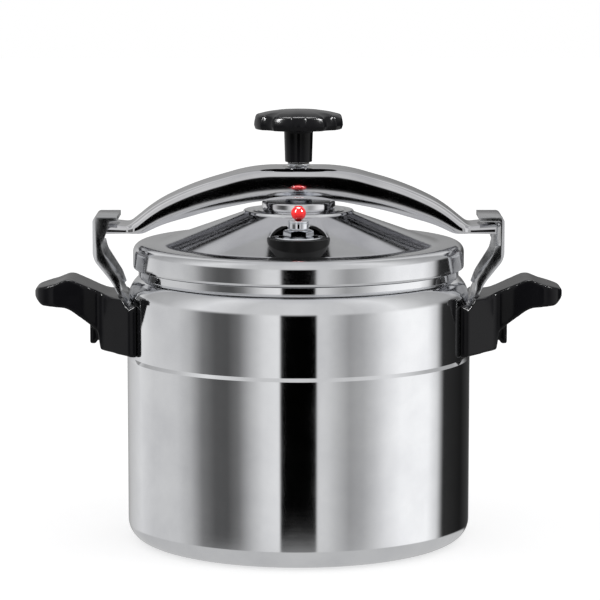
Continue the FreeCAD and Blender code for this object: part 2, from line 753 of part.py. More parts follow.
DISH_TOP = f"{BOSS_TOP} + dish_height"
DISH_FLOOR = f"{BOSS_TOP} + dish_floor"
DISH_LEDGE = f"{DISH_TOP} - dish_ledge_depth"
SPIGOT_END = f"{BOSS_TOP} - lid_wall - dish_nut_height"
keep(turned("dish", [
    ("0", SPIGOT_END),
    ("spigot_radius", SPIGOT_END),
    ("spigot_radius", BOSS_TOP),
    ("dish_radius", BOSS_TOP),
    ("dish_radius", DISH_TOP, "0.8"),
    ("dish_mouth_radius", DISH_TOP),
    ("dish_ledge_radius", f"{DISH_TOP} - 0.5"),
    ("dish_ledge_radius", DISH_LEDGE),
    ("dish_pocket_radius", DISH_LEDGE),
    ("dish_pocket_radius", DISH_FLOOR),
    ("0", DISH_FLOOR),
]), "thrust_dish")


def ring(name, inner, outer, bottom, top):
    """A plain turned ring."""
    return turned(name, [(inner, bottom), (outer, bottom), (outer, top), (inner, top)])


keep(ring("dish_nut_ring", "spigot_radius + bolt_clearance", "dish_nut_radius", SPIGOT_END,
          f"{BOSS_TOP} - lid_wall"), "dish_nut")
SEAT_TOP = f"{DISH_FLOOR} + seat_thickness"
keep(rod("seat_disc", "dish_pocket_radius - bolt_clearance", "seat_thickness", z=DISH_FLOOR),
     "thrust_seat")
keep(ring("trap_ring", "foot_hub_radius + loose_gap", "dish_ledge_radius - bolt_clearance",
          DISH_LEDGE, f"{DISH_LEDGE} + trap_ring_thickness"), "foot_trap_ring")

FOOT_BOTTOM = f"{SEAT_TOP} + seat_gap"
HUB_TOP = f"{FOOT_BOTTOM} + foot_thickness + foot_hub_height"
TIP_BOTTOM = f"{HUB_TOP} - screw_tip_length"
keep(turned("foot", [
    ("0", FOOT_BOTTOM),
    ("foot_radius", FOOT_BOTTOM),
    ("foot_radius", f"{FOOT_BOTTOM} + foot_thickness"),
    ("foot_hub_radius", f"{FOOT_BOTTOM} + foot_thickness"),
    ("foot_hub_radius", HUB_TOP, "0.8"),
    ("screw_tip_radius + bolt_clearance", HUB_TOP),
    ("screw_tip_radius + bolt_clearance", TIP_BOTTOM),
    ("0", TIP_BOTTOM),
]), "screw_foot")

NECK_TOP = "knob_bottom + knob_neck_height"
HEAD_TOP = f"{NECK_TOP} + knob_rim_height * 0.5"
keep(turned("spindle", [
    ("0", TIP_BOTTOM),
    ("screw_tip_radius", TIP_BOTTOM),
    ("screw_tip_radius", HUB_TOP),
    ("screw_radius", HUB_TOP),
    ("screw_radius", "knob_bottom"),
    ("screw_head_radius", "knob_bottom"),
    ("screw_head_radius", HEAD_TOP),
    ("0", HEAD_TOP),
]), "screw_spindle")
keep(ring("insert_sleeve", "screw_head_radius + bolt_clearance", "knob_insert_radius",
          "knob_bottom", HEAD_TOP), "knob_insert")


# ---------------------------------------------------------------- knob


def lobed_knob():
    """The turned cap and neck, with scallops that leave round lobes between them."""
    body = turned("knob_blank", [
        ("knob_insert_radius + bolt_clearance", "knob_bottom"),
        ("knob_neck_radius", "knob_bottom", "0.6"),
        ("knob_neck_radius + 0.7", NECK_TOP, "3"),
        ("knob_radius - 1", NECK_TOP, "1.2"),
        ("knob_radius", f"{NECK_TOP} + 3", "1.2"),
        ("knob_radius - 1.2", f"{NECK_TOP} + knob_rim_height", "2.5"),
        ("0", f"{NECK_TOP} + knob_rim_height + knob_crown"),
        ("0", HEAD_TOP),
        ("knob_insert_radius + bolt_clearance", HEAD_TOP),
    ])
    centre = "knob_radius + knob_scallop_radius - knob_scallop_depth"
    sketch = circle_sketch(body, "knob_scallop", "XY_Plane", centre, "0", "knob_scallop_radius")
    first = pocket(body, sketch, "knob_bottom * 3")
    pattern = body.newObject("PartDesign::PolarPattern", "knob_scallops")
    pattern.Originals = [first]
    pattern.Axis = (sketch, ["N_Axis"])
    pattern.Angle = 360
    pattern.setExpression("Occurrences", bound("knob_lobes"))
    body.Tip = pattern
    return body


keep(lobed_knob(), "knob")


# ---------------------------------------------------------------- beam and its nut

NUT_TOP = "beam_top - 0.2"
NUT_SHEET = "beam_top - beam_wall - beam_washer_thickness - seat_gap"
keep(turned("bush", [
    ("screw_radius + running_clearance", f"{NUT_TOP} - nut_length"),
    ("nut_flange_radius - 2", f"{NUT_TOP} - nut_length"),
    ("nut_flange_radius - 2", f"{NUT_SHEET} - nut_flange_thickness"),
    ("nut_flange_radius", f"{NUT_SHEET} - nut_flange_thickness"),
    ("nut_flange_radius", NUT_SHEET),
    ("nut_radius", NUT_SHEET),
    ("nut_radius", NUT_TOP),
    ("screw_radius + running_clearance", NUT_TOP),
]), "beam_nut")
keep(ring("pressure_washer", "nut_radius + running_clearance", "beam_washer_radius",
          "beam_top - beam_wall - beam_washer_thickness", "beam_top - beam_wall"), "beam_washer")


def arch_top(drop, end):
    """The beam's top outline from the middle out to its end, lowered by a rule."""
    return [
        ("30", f"beam_top - ({drop})", "105"),
        (f"72 - 0.35 * ({drop})", f"beam_top - 12.1 - ({drop})", "190"),
        (f"97 - 0.6 * ({drop})", f"beam_top - 24.2 - ({drop}) * 1.06", "90"),
        (f"115.2 - 0.5 * ({drop})", f"tongue_top - 2 - ({drop}) * 1.15", "7"),
        (end, f"tongue_top - ({drop}) * 1.15"),
    ]


def both_ways(half, start, end):
    """A half outline and its mirror image, joined: from the -X side over to the +X side."""
    mirrored = [(f"-({x})", z, *rest) for x, z, *rest in reversed(half)]
    return start + mirrored + half + end


def top_edges(solid):
    """The names of a slab's long edges, those between its sides and the faces that look up."""
    top = []
    for face in solid.Faces:
        normal = face.normalAt(*face.Surface.parameter(face.CenterOfMass))
        if normal.z > 0.1:
            top += [edge for edge in face.Edges if abs(edge.tangentAt(edge.FirstParameter).y) < 0.5]
    return [
        f"Edge{number}"
        for number, edge in enumerate(solid.Edges, 1)
        if any(edge.isSame(other) for other in top)
    ]


def arched_beam():
    """The beam: an arch of channel section, with a tongue at each end."""
    body = new_body("beam_arch")
    low = "beam_top - beam_side_depth"
    under = [
        ("tongue_reach", "tongue_top - tongue_depth"),
        ("105", "tongue_top - tongue_depth + 0.4", "12"),
        ("92", f"{low} - 17.2", "90"),
        ("58", f"{low} - 7.4", "260"),
        ("20", low, "170"),
    ]
    over = both_ways(arch_top("0", "tongue_reach"), [], [])
    below = under + [(f"-({x})", z, *rest) for x, z, *rest in reversed(under)]
    pad(body, outline(body, "beam_side", "XZ_Plane", over + below), "beam_width")
    doc.recompute()
    edges = top_edges(body.Tip.Shape)
    rounding = body.newObject("PartDesign::Fillet", "beam_rounding")
    rounding.Base = (body.getObject("beam_side_pad"), edges)
    rounding.setExpression("Radius", bound("beam_corner"))
    body.Tip = rounding
    inner = both_ways(arch_top("beam_wall", "tongue_reach + 10"),
                      [("-(tongue_reach + 10)", "neck_height")],
                      [("tongue_reach + 10", "neck_height")])
    pocket(body, outline(body, "beam_hollow", "XZ_Plane", inner), "beam_width - 2 * beam_wall")
    return body


beam_arch = arched_beam()
nut_hole = rod("beam_nut_hole", "nut_radius + running_clearance", "beam_wall * 4",
               z="beam_top - beam_wall * 2")
trims = [
    box(f"tongue_trim_{i}", "30", "beam_width", "60",
        "tongue_reach - 19" if x > 0 else "-(tongue_reach + 11)",
        "tongue_width / 2" if y > 0 else "-(tongue_width / 2 + beam_width)", "neck_height")
    for i, (x, y) in enumerate([(1, 1), (1, -1), (-1, 1), (-1, -1)])
]
keep(cut("beam_cut", beam_arch, joined("beam_cutters", [nut_hole, *trims])), "beam")


# ---------------------------------------------------------------- steam valve and safety plug


def on_pad(thing, sign):
    """Moves a piece made on the Z axis out to the front or the rear pad."""
    return place(thing, y=f"{sign} * valve_offset")


def hex_nut(name, across, bore, bottom, height):
    """A hexagonal nut with a plain bore."""
    prism = doc.addObject("Part::Prism", name + "_prism")
    prism.Polygon = 6
    prism.setExpression("Circumradius", bound(f"{across} / sqrt(3)"))
    prism.setExpression("Height", bound(height))
    place(prism, y="-valve_offset", z=bottom)
    hole = rod(name + "_bore", bore, "pad_height", y="-valve_offset", z="pad_height / 2")
    return cut(name, prism, hole)


WASHER_TOP = "pad_height + washer_thickness"
NUT_FACE = f"{WASHER_TOP} + vent_nut_height"
SEAL_BOTTOM = "pad_height - pad_depth - seal_thickness"
PIPE_HOLE = "pipe_radius + bolt_clearance"
keep(on_pad(ring("pad_washer", PIPE_HOLE, "washer_radius", "pad_height", WASHER_TOP), -1),
     "vent_washer")
keep(hex_nut("top_nut", "vent_nut_across", PIPE_HOLE, WASHER_TOP, "vent_nut_height"), "vent_nut")
keep(on_pad(ring("inner_seal", PIPE_HOLE, "seal_radius", SEAL_BOTTOM, "pad_height - pad_depth"), -1),
     "vent_seal")
keep(hex_nut("inner_nut", "vent_nut_across", PIPE_HOLE, f"{SEAL_BOTTOM} - lock_nut_height",
             "lock_nut_height"), "vent_lock_nut")
keep(on_pad(turned("pipe", [
    ("pipe_bore", "pipe_bottom"),
    ("pipe_radius", "pipe_bottom"),
    ("pipe_radius", "pipe_top - 2"),
    ("pipe_bore + 1", "pipe_top"),
    ("pipe_bore", "pipe_top"),
]), -1), "vent_pipe")

CAP_TOP = "cap_bottom + cap_depth"
cap_can = on_pad(turned("cap_can", [
    ("0", "cap_bottom"),
    ("cap_radius", "cap_bottom", "0.9"),
    ("cap_radius", CAP_TOP),
    (PIPE_HOLE, CAP_TOP),
    (PIPE_HOLE, f"{CAP_TOP} - cap_wall"),
    ("cap_radius - cap_wall", f"{CAP_TOP} - cap_wall"),
    ("cap_radius - cap_wall", "cap_bottom + cap_wall"),
    ("0", "cap_bottom + cap_wall"),
]), -1)
cap_slots = [
    box("cap_slot_x", "2 * cap_radius + 4", "2.4", "1.8", "-cap_radius - 2",
        "-valve_offset - 1.2", "cap_bottom + cap_wall + 0.6"),
    box("cap_slot_y", "2.4", "2 * cap_radius + 4", "1.8", "-1.2",
        "-valve_offset - cap_radius - 2", "cap_bottom + cap_wall + 0.6"),
]
keep(cut("cap_slotted", cap_can, joined("cap_slots", cap_slots)), "anti_clog_cap")

BALL_CENTRE = "weight_top + ball_radius - ball_sink / 2"
keep(on_pad(turned("weight", [
    ("0", "pipe_top + seat_gap"),
    ("pipe_radius - 1", "pipe_top + seat_gap"),
    ("pipe_radius + loose_gap", "pipe_top - 1.6"),
    ("pipe_radius + loose_gap", f"{NUT_FACE} + seat_gap"),
    ("weight_radius", f"{NUT_FACE} + seat_gap", "0.4"),
    ("weight_radius", "weight_top", "1"),
    ("ball_stud_radius", "weight_top"),
    ("ball_stud_radius", "weight_top + ball_stud_height"),
    ("0", "weight_top + ball_stud_height"),
]), -1), "valve_weight")
ball_solid = doc.addObject("Part::Sphere", "ball_solid")
ball_solid.setExpression("Radius", bound("ball_radius"))
place(ball_solid, y="-valve_offset", z=BALL_CENTRE)
ball_bore = rod("ball_bore", "ball_stud_radius + bolt_clearance",
                f"{BALL_CENTRE} - weight_top + ball_radius + 0.1 - ball_radius",
                y="-valve_offset", z="weight_top")
ball_flat = rod("ball_flat", "ball_radius", "ball_radius", y="-valve_offset",
                z="weight_top - ball_radius")
keep(cut("ball_cut", ball_solid, joined("ball_cutters", [ball_bore, ball_flat])), "valve_ball")

PLUG_SEAT_TOP = "pad_height + plug_seat_height"
keep(on_pad(ring("plug_ring", "plug_radius + bolt_clearance", "plug_seat_radius", "pad_height",
                 PLUG_SEAT_TOP), 1), "safety_plug_seat")
keep(on_pad(turned("plug", [
    ("0", f"{SEAL_BOTTOM} - 0.6"),
    ("plug_radius + 1.4", f"{SEAL_BOTTOM} - 0.6"),
    ("plug_radius + 1.4", "pad_height - pad_depth"),
    ("plug_radius", "pad_height - pad_depth"),
    ("plug_radius", PLUG_SEAT_TOP),
    ("plug_head_radius", PLUG_SEAT_TOP),
    ("plug_head_radius - 0.6", f"{PLUG_SEAT_TOP} + plug_head_height", "0.8"),
    ("0", f"{PLUG_SEAT_TOP} + plug_head_height"),
]), 1), "safety_plug")


# ---------------------------------------------------------------- checks and files

doc.recompute()
for thing in doc.Objects:
    if {"Invalid", "Error"} & set(thing.State):
        raise RuntimeError(f"{thing.Name} ({thing.Label}) did not build")
for node in nodes:
    if node.Shape.isNull() or not node.Shape.isValid() or not node.Shape.Solids:
        raise RuntimeError(f"{node.Label} has no sound shape")

os.makedirs("parts", exist_ok=True)
for node in nodes:
    node.Shape.exportStep(f"parts/{node.Label}.step")
    print(f"{node.Label}: {len(node.Shape.Solids)} solid(s), {node.Shape.Volume:.0f} mm3")
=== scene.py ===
"""Looks for a beam-clamp pressure canner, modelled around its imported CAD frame.

Each sub-assembly of the canner is a class: its sizes are fields, and its methods model and dress
its pieces. Lengths are in millimetres, and MM turns them into the scene's metres.
"""

import logging
import math
from contextlib import contextmanager
from dataclasses import dataclass, field
from enum import Enum
from typing import Callable, Iterator, Sequence

import bmesh
import bpy
from bpy.types import Material, Node, NodeSocket, NodeTree, Object
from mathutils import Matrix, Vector


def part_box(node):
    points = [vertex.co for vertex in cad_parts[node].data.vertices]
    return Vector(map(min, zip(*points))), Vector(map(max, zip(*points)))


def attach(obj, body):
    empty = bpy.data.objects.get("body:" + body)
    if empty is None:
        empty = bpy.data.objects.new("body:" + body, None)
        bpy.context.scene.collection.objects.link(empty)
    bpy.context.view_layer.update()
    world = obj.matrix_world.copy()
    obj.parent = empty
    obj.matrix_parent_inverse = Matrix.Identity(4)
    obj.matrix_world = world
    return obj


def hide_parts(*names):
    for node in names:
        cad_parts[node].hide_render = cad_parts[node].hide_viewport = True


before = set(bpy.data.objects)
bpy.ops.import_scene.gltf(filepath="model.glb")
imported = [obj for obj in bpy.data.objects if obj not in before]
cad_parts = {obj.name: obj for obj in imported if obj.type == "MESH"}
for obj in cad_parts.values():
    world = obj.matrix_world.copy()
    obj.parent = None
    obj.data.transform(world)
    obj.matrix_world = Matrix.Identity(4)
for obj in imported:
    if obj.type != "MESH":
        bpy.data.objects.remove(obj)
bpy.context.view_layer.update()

MM = 0.001
LOG = logging.getLogger("canner")
Corner = tuple[float, ...]  # radius or x, height, and the corner's round where it has one


class Body(Enum):
    """The CAD bodies that pieces ride on."""

    POT = "pot"
    LID = "lid"
    SCREW = "screw"
    BEAM = "beam"
    VALVE = "valve"


# ---------------------------------------------------------------- modelling


def low_corner(node: str) -> Vector:
    """A CAD node's lowest corner in millimetres."""
    return Vector(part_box(node)[0]) / MM


def high_corner(node: str) -> Vector:
    """A CAD node's highest corner in millimetres."""
    return Vector(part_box(node)[1]) / MM


def pick_only(obj: Object | None = None) -> None:
    """Deselects everything, then selects one object and makes it the active one.

    Args:
        obj: the object to pick, or None to leave nothing selected.
    """
    if bpy.context.object and bpy.context.object.mode != "OBJECT":
        bpy.ops.object.mode_set(mode="OBJECT")
    bpy.ops.object.select_all(action="DESELECT")
    if obj:
        obj.select_set(True)
        bpy.context.view_layer.objects.active = obj


@contextmanager
def editing(obj: Object, mode: str = "VERT") -> Iterator[None]:
    """Edit mode on one object, with all of it selected at the start.

    Args:
        obj: the object to edit.
        mode: VERT, EDGE or FACE, what is selected.
    """
    pick_only(obj)
    bpy.ops.object.mode_set(mode="EDIT")
    bpy.ops.mesh.select_mode(type=mode)
    bpy.ops.mesh.select_all(action="SELECT")
    yield
    bpy.ops.object.mode_set(mode="OBJECT")


def pick_points(obj: Object, wanted: Callable[[Vector], bool]) -> None:
    """Selects the vertices of the mesh in edit mode whose place passes a test.

    Args:
        obj: the object in edit mode.
        wanted: the test, on a place in millimetres.
    """
    bpy.ops.mesh.select_all(action="DESELECT")
    mesh = bmesh.from_edit_mesh(obj.data)
    for vertex in mesh.verts:
        vertex.select = wanted(vertex.co / MM)
    mesh.select_flush(True)
    bmesh.update_edit_mesh(obj.data)


def close_up(merge: float = 0.004) -> None:
    """Merges doubles and turns all faces outwards, in edit mode.

    Args:
        merge: how near two vertices are to become one, in millimetres.
    """
    bpy.ops.mesh.select_all(action="SELECT")
    bpy.ops.mesh.remove_doubles(threshold=merge * MM)
    bpy.ops.mesh.normals_make_consistent(inside=False)


def finish_smooth(obj: Object, angle: float = 30.0) -> None:
    """Shades a piece smooth, with an edge wherever its faces turn by more than an angle."""
    pick_only(obj)
    bpy.ops.object.shade_smooth_by_angle(angle=math.radians(angle))


def apply_modifier(obj: Object, kind: str, **settings: object) -> None:
    """Adds a modifier with its settings and applies it.

    Args:
        obj: the piece.
        kind: Blender's name for the modifier.
        settings: the modifier's own settings.
    """
    pick_only(obj)
    modifier = obj.modifiers.new(kind.lower(), kind)
    for name, setting in settings.items():
        setattr(modifier, name, setting)
    bpy.ops.object.modifier_apply(modifier=modifier.name)


def drop(obj: Object) -> None:
    """Deletes a helper object and its mesh."""
    mesh = obj.data
    bpy.data.objects.remove(obj)
    bpy.data.meshes.remove(mesh)


def carve(obj: Object, tool: Object, how: str = "DIFFERENCE") -> None:
    """Cuts, adds or intersects a piece with a tool shape, which is then deleted."""
    apply_modifier(obj, "BOOLEAN", operation=how, object=tool, solver="EXACT")
    drop(tool)


def drawn_line(name: str, corners: Sequence[Corner], closed: bool) -> Object:
    """Draws an outline in the XZ plane as a chain of edges, then rounds its corners.

    Args:
        name: the new object's name.
        corners: across, height and, where it has one, the corner's round, in millimetres.
        closed: whether the chain ends where it starts.

    Returns:
        The chain, an object at the origin.
    """
    pick_only()
    bpy.ops.mesh.primitive_plane_add(size=MM)
    line = bpy.context.object
    line.name = line.data.name = name
    places = [Vector((corner[0], 0, corner[1])) for corner in corners]
    with editing(line):
        bpy.ops.mesh.merge(type="CENTER")
        bpy.ops.transform.translate(value=places[0] * MM)
        for here, there in zip(places, places[1:] + places[:1] if closed else places[1:]):
            step = (there - here) * MM
            bpy.ops.mesh.extrude_vertices_move(TRANSFORM_OT_translate={"value": step})
        bpy.ops.mesh.select_all(action="SELECT")
        bpy.ops.mesh.remove_doubles(threshold=0.001 * MM)
        for index, corner in enumerate(corners):
            if len(corner) > 2:
                round_corner(line, places, index, corner[2])
    return line


def round_corner(line: Object, places: list[Vector], index: int, radius: float) -> None:
    """Rounds one corner of a drawn line by a vertex bevel as long as the round's tangent."""
    here = places[index]
    back = (places[index - 1] - here).normalized()
    ahead = (places[(index + 1) % len(places)] - here).normalized()
    turn = math.pi - back.angle(ahead)
    pick_points(line, lambda place: (place - here).length < 0.01)
    bpy.ops.mesh.bevel(
        offset=radius * math.tan(turn / 2) * MM,
        segments=max(3, math.ceil(math.degrees(turn) / 7)),
        affect="VERTICES",
    )


def turned(
    name: str, corners: Sequence[Corner], steps: int = 128, y: float = 0.0
) -> Object:
    """Turns an outline about an upright axis, as on a lathe.

    Args:
        name: the piece's name.
        corners: radius, height and round of each corner. The line is closed unless it starts
            and ends on the axis.
        steps: how many steps go round.
        y: where the axis stands, in millimetres along Y.

    Returns:
        The turned solid.
    """
    on_axis = corners[0][0] == 0 and corners[-1][0] == 0
    piece = drawn_line(name, corners, closed=not on_axis)
    with editing(piece):
        bpy.ops.mesh.spin(steps=steps, angle=2 * math.pi, center=(0, 0, 0), axis=(0, 0, 1))
        close_up()
        bpy.ops.mesh.select_all(action="SELECT")
        bpy.ops.transform.translate(value=(0, y * MM, 0))
    finish_smooth(piece)
    return piece


def reshape(obj: Object, move: Callable[[Vector], Vector]) -> None:
    """Moves every vertex of a piece by a rule on its place in millimetres."""
    for vertex in obj.data.vertices:
        vertex.co = move(vertex.co / MM) * MM
    obj.data.update()


def from_cad(name: str, node: str) -> Object:
    """A merged copy of a CAD node's mesh, to be finished as a piece of its own.

    Args:
        name: the piece's name.
        node: the CAD node it is copied from.

    Returns:
        The copy, with its flat faces free of needless edges.
    """
    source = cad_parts[node]
    copy = bpy.data.objects.new(name, source.data.copy())
    copy.data.name = name
    copy.data.materials.clear()
    bpy.context.scene.collection.objects.link(copy)
    with editing(copy):
        bpy.ops.mesh.customdata_custom_splitnormals_clear()
        bpy.ops.mesh.remove_doubles(threshold=0.005 * MM)
        bpy.ops.mesh.dissolve_limited(angle_limit=math.radians(0.6))
    return copy


def set_piece(
    piece: Object,
    body: Body,
    material: Material,
    replaces: Sequence[str] = (),
) -> None:
    """Gives a finished piece its material, body and material slot, and logs it.

    Args:
        piece: the finished piece.
        body: the CAD body it rides on.
        material: its finish.
        replaces: the CAD nodes it stands for.
    """
    piece.data.materials.clear()
    piece.data.materials.append(material)
    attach(piece, body.value)
    if replaces:
        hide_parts(*replaces)
    LOG.info("%s: %d faces on %s", piece.name, len(piece.data.polygons), body.value)


# ---------------------------------------------------------------- finishes


def linear(hex_colour: str) -> tuple[float, float, float, float]:
    """The linear colour of an sRGB hex value such as "c8ccd0"."""
    parts = [int(hex_colour[i:i + 2], 16) / 255 for i in (0, 2, 4)]
    return (*[c / 12.92 if c <= 0.04045 else ((c + 0.055) / 1.055) ** 2.4 for c in parts], 1.0)


def add_node(
    tree: NodeTree,
    kind: str,
    settings: dict[str, object] | None = None,
    inputs: dict[str | int, object] | None = None,
) -> Node:
    """Adds a node, makes its settings, and sets or links its inputs.

    Args:
        tree: the node tree.
        kind: the node's type, without the ShaderNode prefix.
        settings: the node's own settings.
        inputs: for each input, a value or the output socket that feeds it.

    Returns:
        The node.
    """
    node = tree.nodes.new("ShaderNode" + kind)
    for name, setting in (settings or {}).items():
        setattr(node, name, setting)
    for name, feed in (inputs or {}).items():
        if isinstance(feed, NodeSocket):
            tree.links.new(feed, node.inputs[name])
        else:
            node.inputs[name].default_value = feed
    return node


def mixed(tree: NodeTree, factor: object, first: object, second: object
          ) -> NodeSocket:
    """Mixes two colours, each a value or a socket, by a factor from 0 to 1."""
    return add_node(tree, "Mix", {"data_type": "RGBA"},
                    {"Factor": factor, 6: first, 7: second}).outputs[2]


def new_material(name: str) -> tuple[Material, NodeTree, Node]:
    """An empty node material, its tree and its output node."""
    material = bpy.data.materials.new(name)
    material.use_nodes = True
    tree = material.node_tree
    tree.nodes.clear()
    return material, tree, tree.nodes.new("ShaderNodeOutputMaterial")


def ring_coordinates(tree: NodeTree, y: float = 0.0) -> NodeSocket:
    """Places as (distance from an upright axis, 0, height), so that a pattern makes rings.

    Args:
        tree: the node tree.
        y: where the axis stands, in millimetres along Y.

    Returns:
        The vector output.
    """
    place = add_node(tree, "TexCoord")
    centred = add_node(tree, "Mapping", inputs={"Vector": place.outputs["Object"],
                                                "Location": (0, -y * MM, 0)})
    parts = add_node(tree, "SeparateXYZ", inputs={0: centred.outputs[0]})
    flat = add_node(tree, "CombineXYZ", inputs={0: parts.outputs[0], 1: parts.outputs[1]})
    radius = add_node(tree, "VectorMath", {"operation": "LENGTH"}, {0: flat.outputs[0]})
    return add_node(tree, "CombineXYZ",
                    inputs={0: radius.outputs["Value"], 2: parts.outputs[2]}).outputs[0]


def stretched_coordinates(
    tree: NodeTree, stretch: tuple[float, float, float]
) -> NodeSocket:
    """Object coordinates stretched by a factor on each axis."""
    place = add_node(tree, "TexCoord")
    return add_node(tree, "Mapping", inputs={
        "Vector": place.outputs["Object"], "Scale": stretch}).outputs[0]


@dataclass(frozen=True)
class MetalFinish:
    """A worked metal surface: its colour, gloss, tool marks and polishing haze.

    The marks are rings about an upright axis on turned work, and straight strokes on sheet.
    """

    name: str
    colour: str
    shade: str
    roughness: float
    haze: float
    mark_spacing: float
    mark_depth: float
    axis_y: float | None = 0.0
    stroke: tuple[float, float, float] = (1.0, 1.0, 1.0)
    anisotropy: float = 0.0
    patch: float = 35.0

    def material(self) -> Material:
        """Builds the finish: colour and gloss drift over patches, and marks scatter the light."""
        material, tree, output = new_material(self.name)
        if self.axis_y is None:
            along = stretched_coordinates(tree, self.stroke)
        else:
            along = ring_coordinates(tree, self.axis_y)
        marks = add_node(tree, "TexNoise", inputs={
            "Vector": along, "Scale": 1 / (self.mark_spacing * MM), "Detail": 3.0,
            "Roughness": 0.6})
        place = add_node(tree, "TexCoord")
        patches = add_node(tree, "TexNoise", inputs={
            "Vector": place.outputs["Object"], "Scale": 1 / (self.patch * MM), "Detail": 4.0,
            "Roughness": 0.55})
        both = add_node(tree, "Math", {"operation": "MULTIPLY_ADD"}, {
            0: marks.outputs["Fac"], 1: 0.55, 2: patches.outputs["Fac"]})
        gloss = add_node(tree, "MapRange", inputs={
            "Value": both.outputs[0], "From Min": 0.45, "From Max": 1.1,
            "To Min": self.roughness, "To Max": self.roughness + self.haze})
        tone = add_node(tree, "MapRange", inputs={
            "Value": patches.outputs["Fac"], "From Min": 0.3, "From Max": 0.7})
        colour = mixed(tree, tone.outputs[0], linear(self.shade), linear(self.colour))
        bump = add_node(tree, "Bump", inputs={
            "Height": marks.outputs["Fac"], "Strength": 1.0, "Distance": self.mark_depth * MM})
        shader = add_node(tree, "BsdfPrincipled", inputs={
            "Base Color": colour, "Metallic": 1.0, "Roughness": gloss.outputs[0],
            "Anisotropic": self.anisotropy, "Normal": bump.outputs[0]})
        if self.anisotropy:
            round_about = add_node(tree, "Tangent", {"direction_type": "RADIAL", "axis": "Z"})
            tree.links.new(round_about.outputs[0], shader.inputs["Tangent"])
        tree.links.new(shader.outputs[0], output.inputs[0])
        return material


@dataclass(frozen=True)
class MouldedFinish:
    """A moulded plastic or silicone surface, or the flat black of a painted shade: flow colour, skin
    texture and gloss.
    """

    name: str
    colour: str
    shade: str
    roughness: float
    haze: float
    ior: float
    skin: float
    skin_depth: float
    coat: float = 0.0
    shine: float = 0.5

    def material(self) -> Material:
        """Builds the finish: the colour drifts with the mould's flow under a fine skin."""
        material, tree, output = new_material(self.name)
        place = add_node(tree, "TexCoord").outputs["Object"]
        flow = add_node(tree, "TexNoise", inputs={
            "Vector": place, "Scale": 1 / (14 * MM), "Detail": 5.0, "Distortion": 0.6})
        skin = add_node(tree, "TexNoise", inputs={
            "Vector": place, "Scale": 1 / (self.skin * MM), "Detail": 2.0})
        colour = mixed(tree, flow.outputs["Fac"], linear(self.shade), linear(self.colour))
        gloss = add_node(tree, "MapRange", inputs={
            "Value": flow.outputs["Fac"], "From Min": 0.3, "From Max": 0.7,
            "To Min": self.roughness, "To Max": self.roughness + self.haze})
        bump = add_node(tree, "Bump", inputs={
            "Height": skin.outputs["Fac"], "Strength": 1.0, "Distance": self.skin_depth * MM})
        shader = add_node(tree, "BsdfPrincipled", inputs={
            "Base Color": colour, "Roughness": gloss.outputs[0], "IOR": self.ior,
            "Normal": bump.outputs[0], "Coat Weight": self.coat, "Coat Roughness": 0.08,
            "Specular IOR Level": self.shine})
        tree.links.new(shader.outputs[0], output.inputs[0])
        return material


# Sheet aluminium, spun to shape and buffed on the lathe: a mirror with faint level rings.
# The rings are really about 0.1 mm apart, and are drawn at 0.9 mm so that they show.
POT_ALUMINIUM = MetalFinish("mirror_polished_spun_aluminium", "f0f1f3", "e2e3e6",
                            0.045, 0.05, 0.9, 0.00010)
# The lid is spun from the same sheet, a little duller on the cone, where rings catch light.
LID_ALUMINIUM = MetalFinish("buffed_spun_aluminium_lid", "eeeff1", "dcdde0",
                            0.07, 0.05, 0.8, 0.00005, anisotropy=0.25)
# Stamped steel, nickel plated and polished along its length: a bright, slightly warm mirror.
BEAM_STEEL = MetalFinish("polished_nickel_plated_steel", "e6e6e8", "d0d0d3",
                         0.05, 0.07, 0.7, 0.00018, axis_y=None, stroke=(0.15, 1.0, 0.6))
# Bent steel strip with a tumbled polish: softer than the beam, with short cross strokes.
ARM_STEEL = MetalFinish("tumbled_polished_steel_strip", "dddee0", "c6c7ca",
                        0.10, 0.10, 0.8, 0.00030, axis_y=None, stroke=(1.0, 0.2, 1.0), patch=9.0)
# Rivets headed cold from soft aluminium wire: satin, with a fine press skin.
RIVET_ALUMINIUM = MetalFinish("cold_headed_satin_aluminium", "d8d9db", "bcbec1",
                              0.22, 0.14, 0.5, 0.0010, axis_y=None, patch=4.0)
# Brass turned and chrome plated: the brightest and bluest mirror on the canner.
CHROME = MetalFinish("bright_chrome_plated_brass", "eceef2", "dadde3",
                     0.035, 0.05, 0.5, 0.00012, axis_y=-67.0, patch=8.0)
# Rolled steel with bright zinc: grey, a little milky, with clouds of passivation.
ZINC = MetalFinish("bright_zinc_plated_steel", "c3c7cc", "a3a8b0",
                   0.20, 0.16, 0.6, 0.0008, axis_y=0.0, patch=6.0)
# Free-cutting brass as it comes off the lathe: yellow, with visible turning rings.
BRASS = MetalFinish("turned_free_cutting_brass", "d8b76a", "b08f47",
                    0.16, 0.14, 0.5, 0.0012, axis_y=0.0, patch=7.0)
# Phenolic moulded under heat in a polished steel mould: deep black with a hard gloss.
BAKELITE = MouldedFinish("compression_moulded_black_phenolic", "070708", "040405",
                         0.12, 0.08, 1.6, 1.8, 0.003, shine=0.1)
# Injection-moulded ABS, glossy and evenly red, with a thin clear shine.
RED_BALL = MouldedFinish("injection_moulded_red_abs", "a80a0c", "8c0608",
                         0.12, 0.10, 1.53, 1.2, 0.004, coat=0.3)
# Painted shade for the front valve pad's face and walls: a soft flat black, hardly any shine.
PAINTED_PAD_SHADE = MouldedFinish("painted_pad_shade_black", "08080a", "050506",
                             0.35, 0.15, 1.5, 0.6, 0.01, shine=0.25)
# Brass nickel plated after turning: a warm silver with the lathe's rings under it.
NICKEL = MetalFinish("nickel_plated_turned_brass", "cfccc6", "b0ada6",
                     0.14, 0.10, 0.5, 0.0008, axis_y=0.0, patch=7.0)
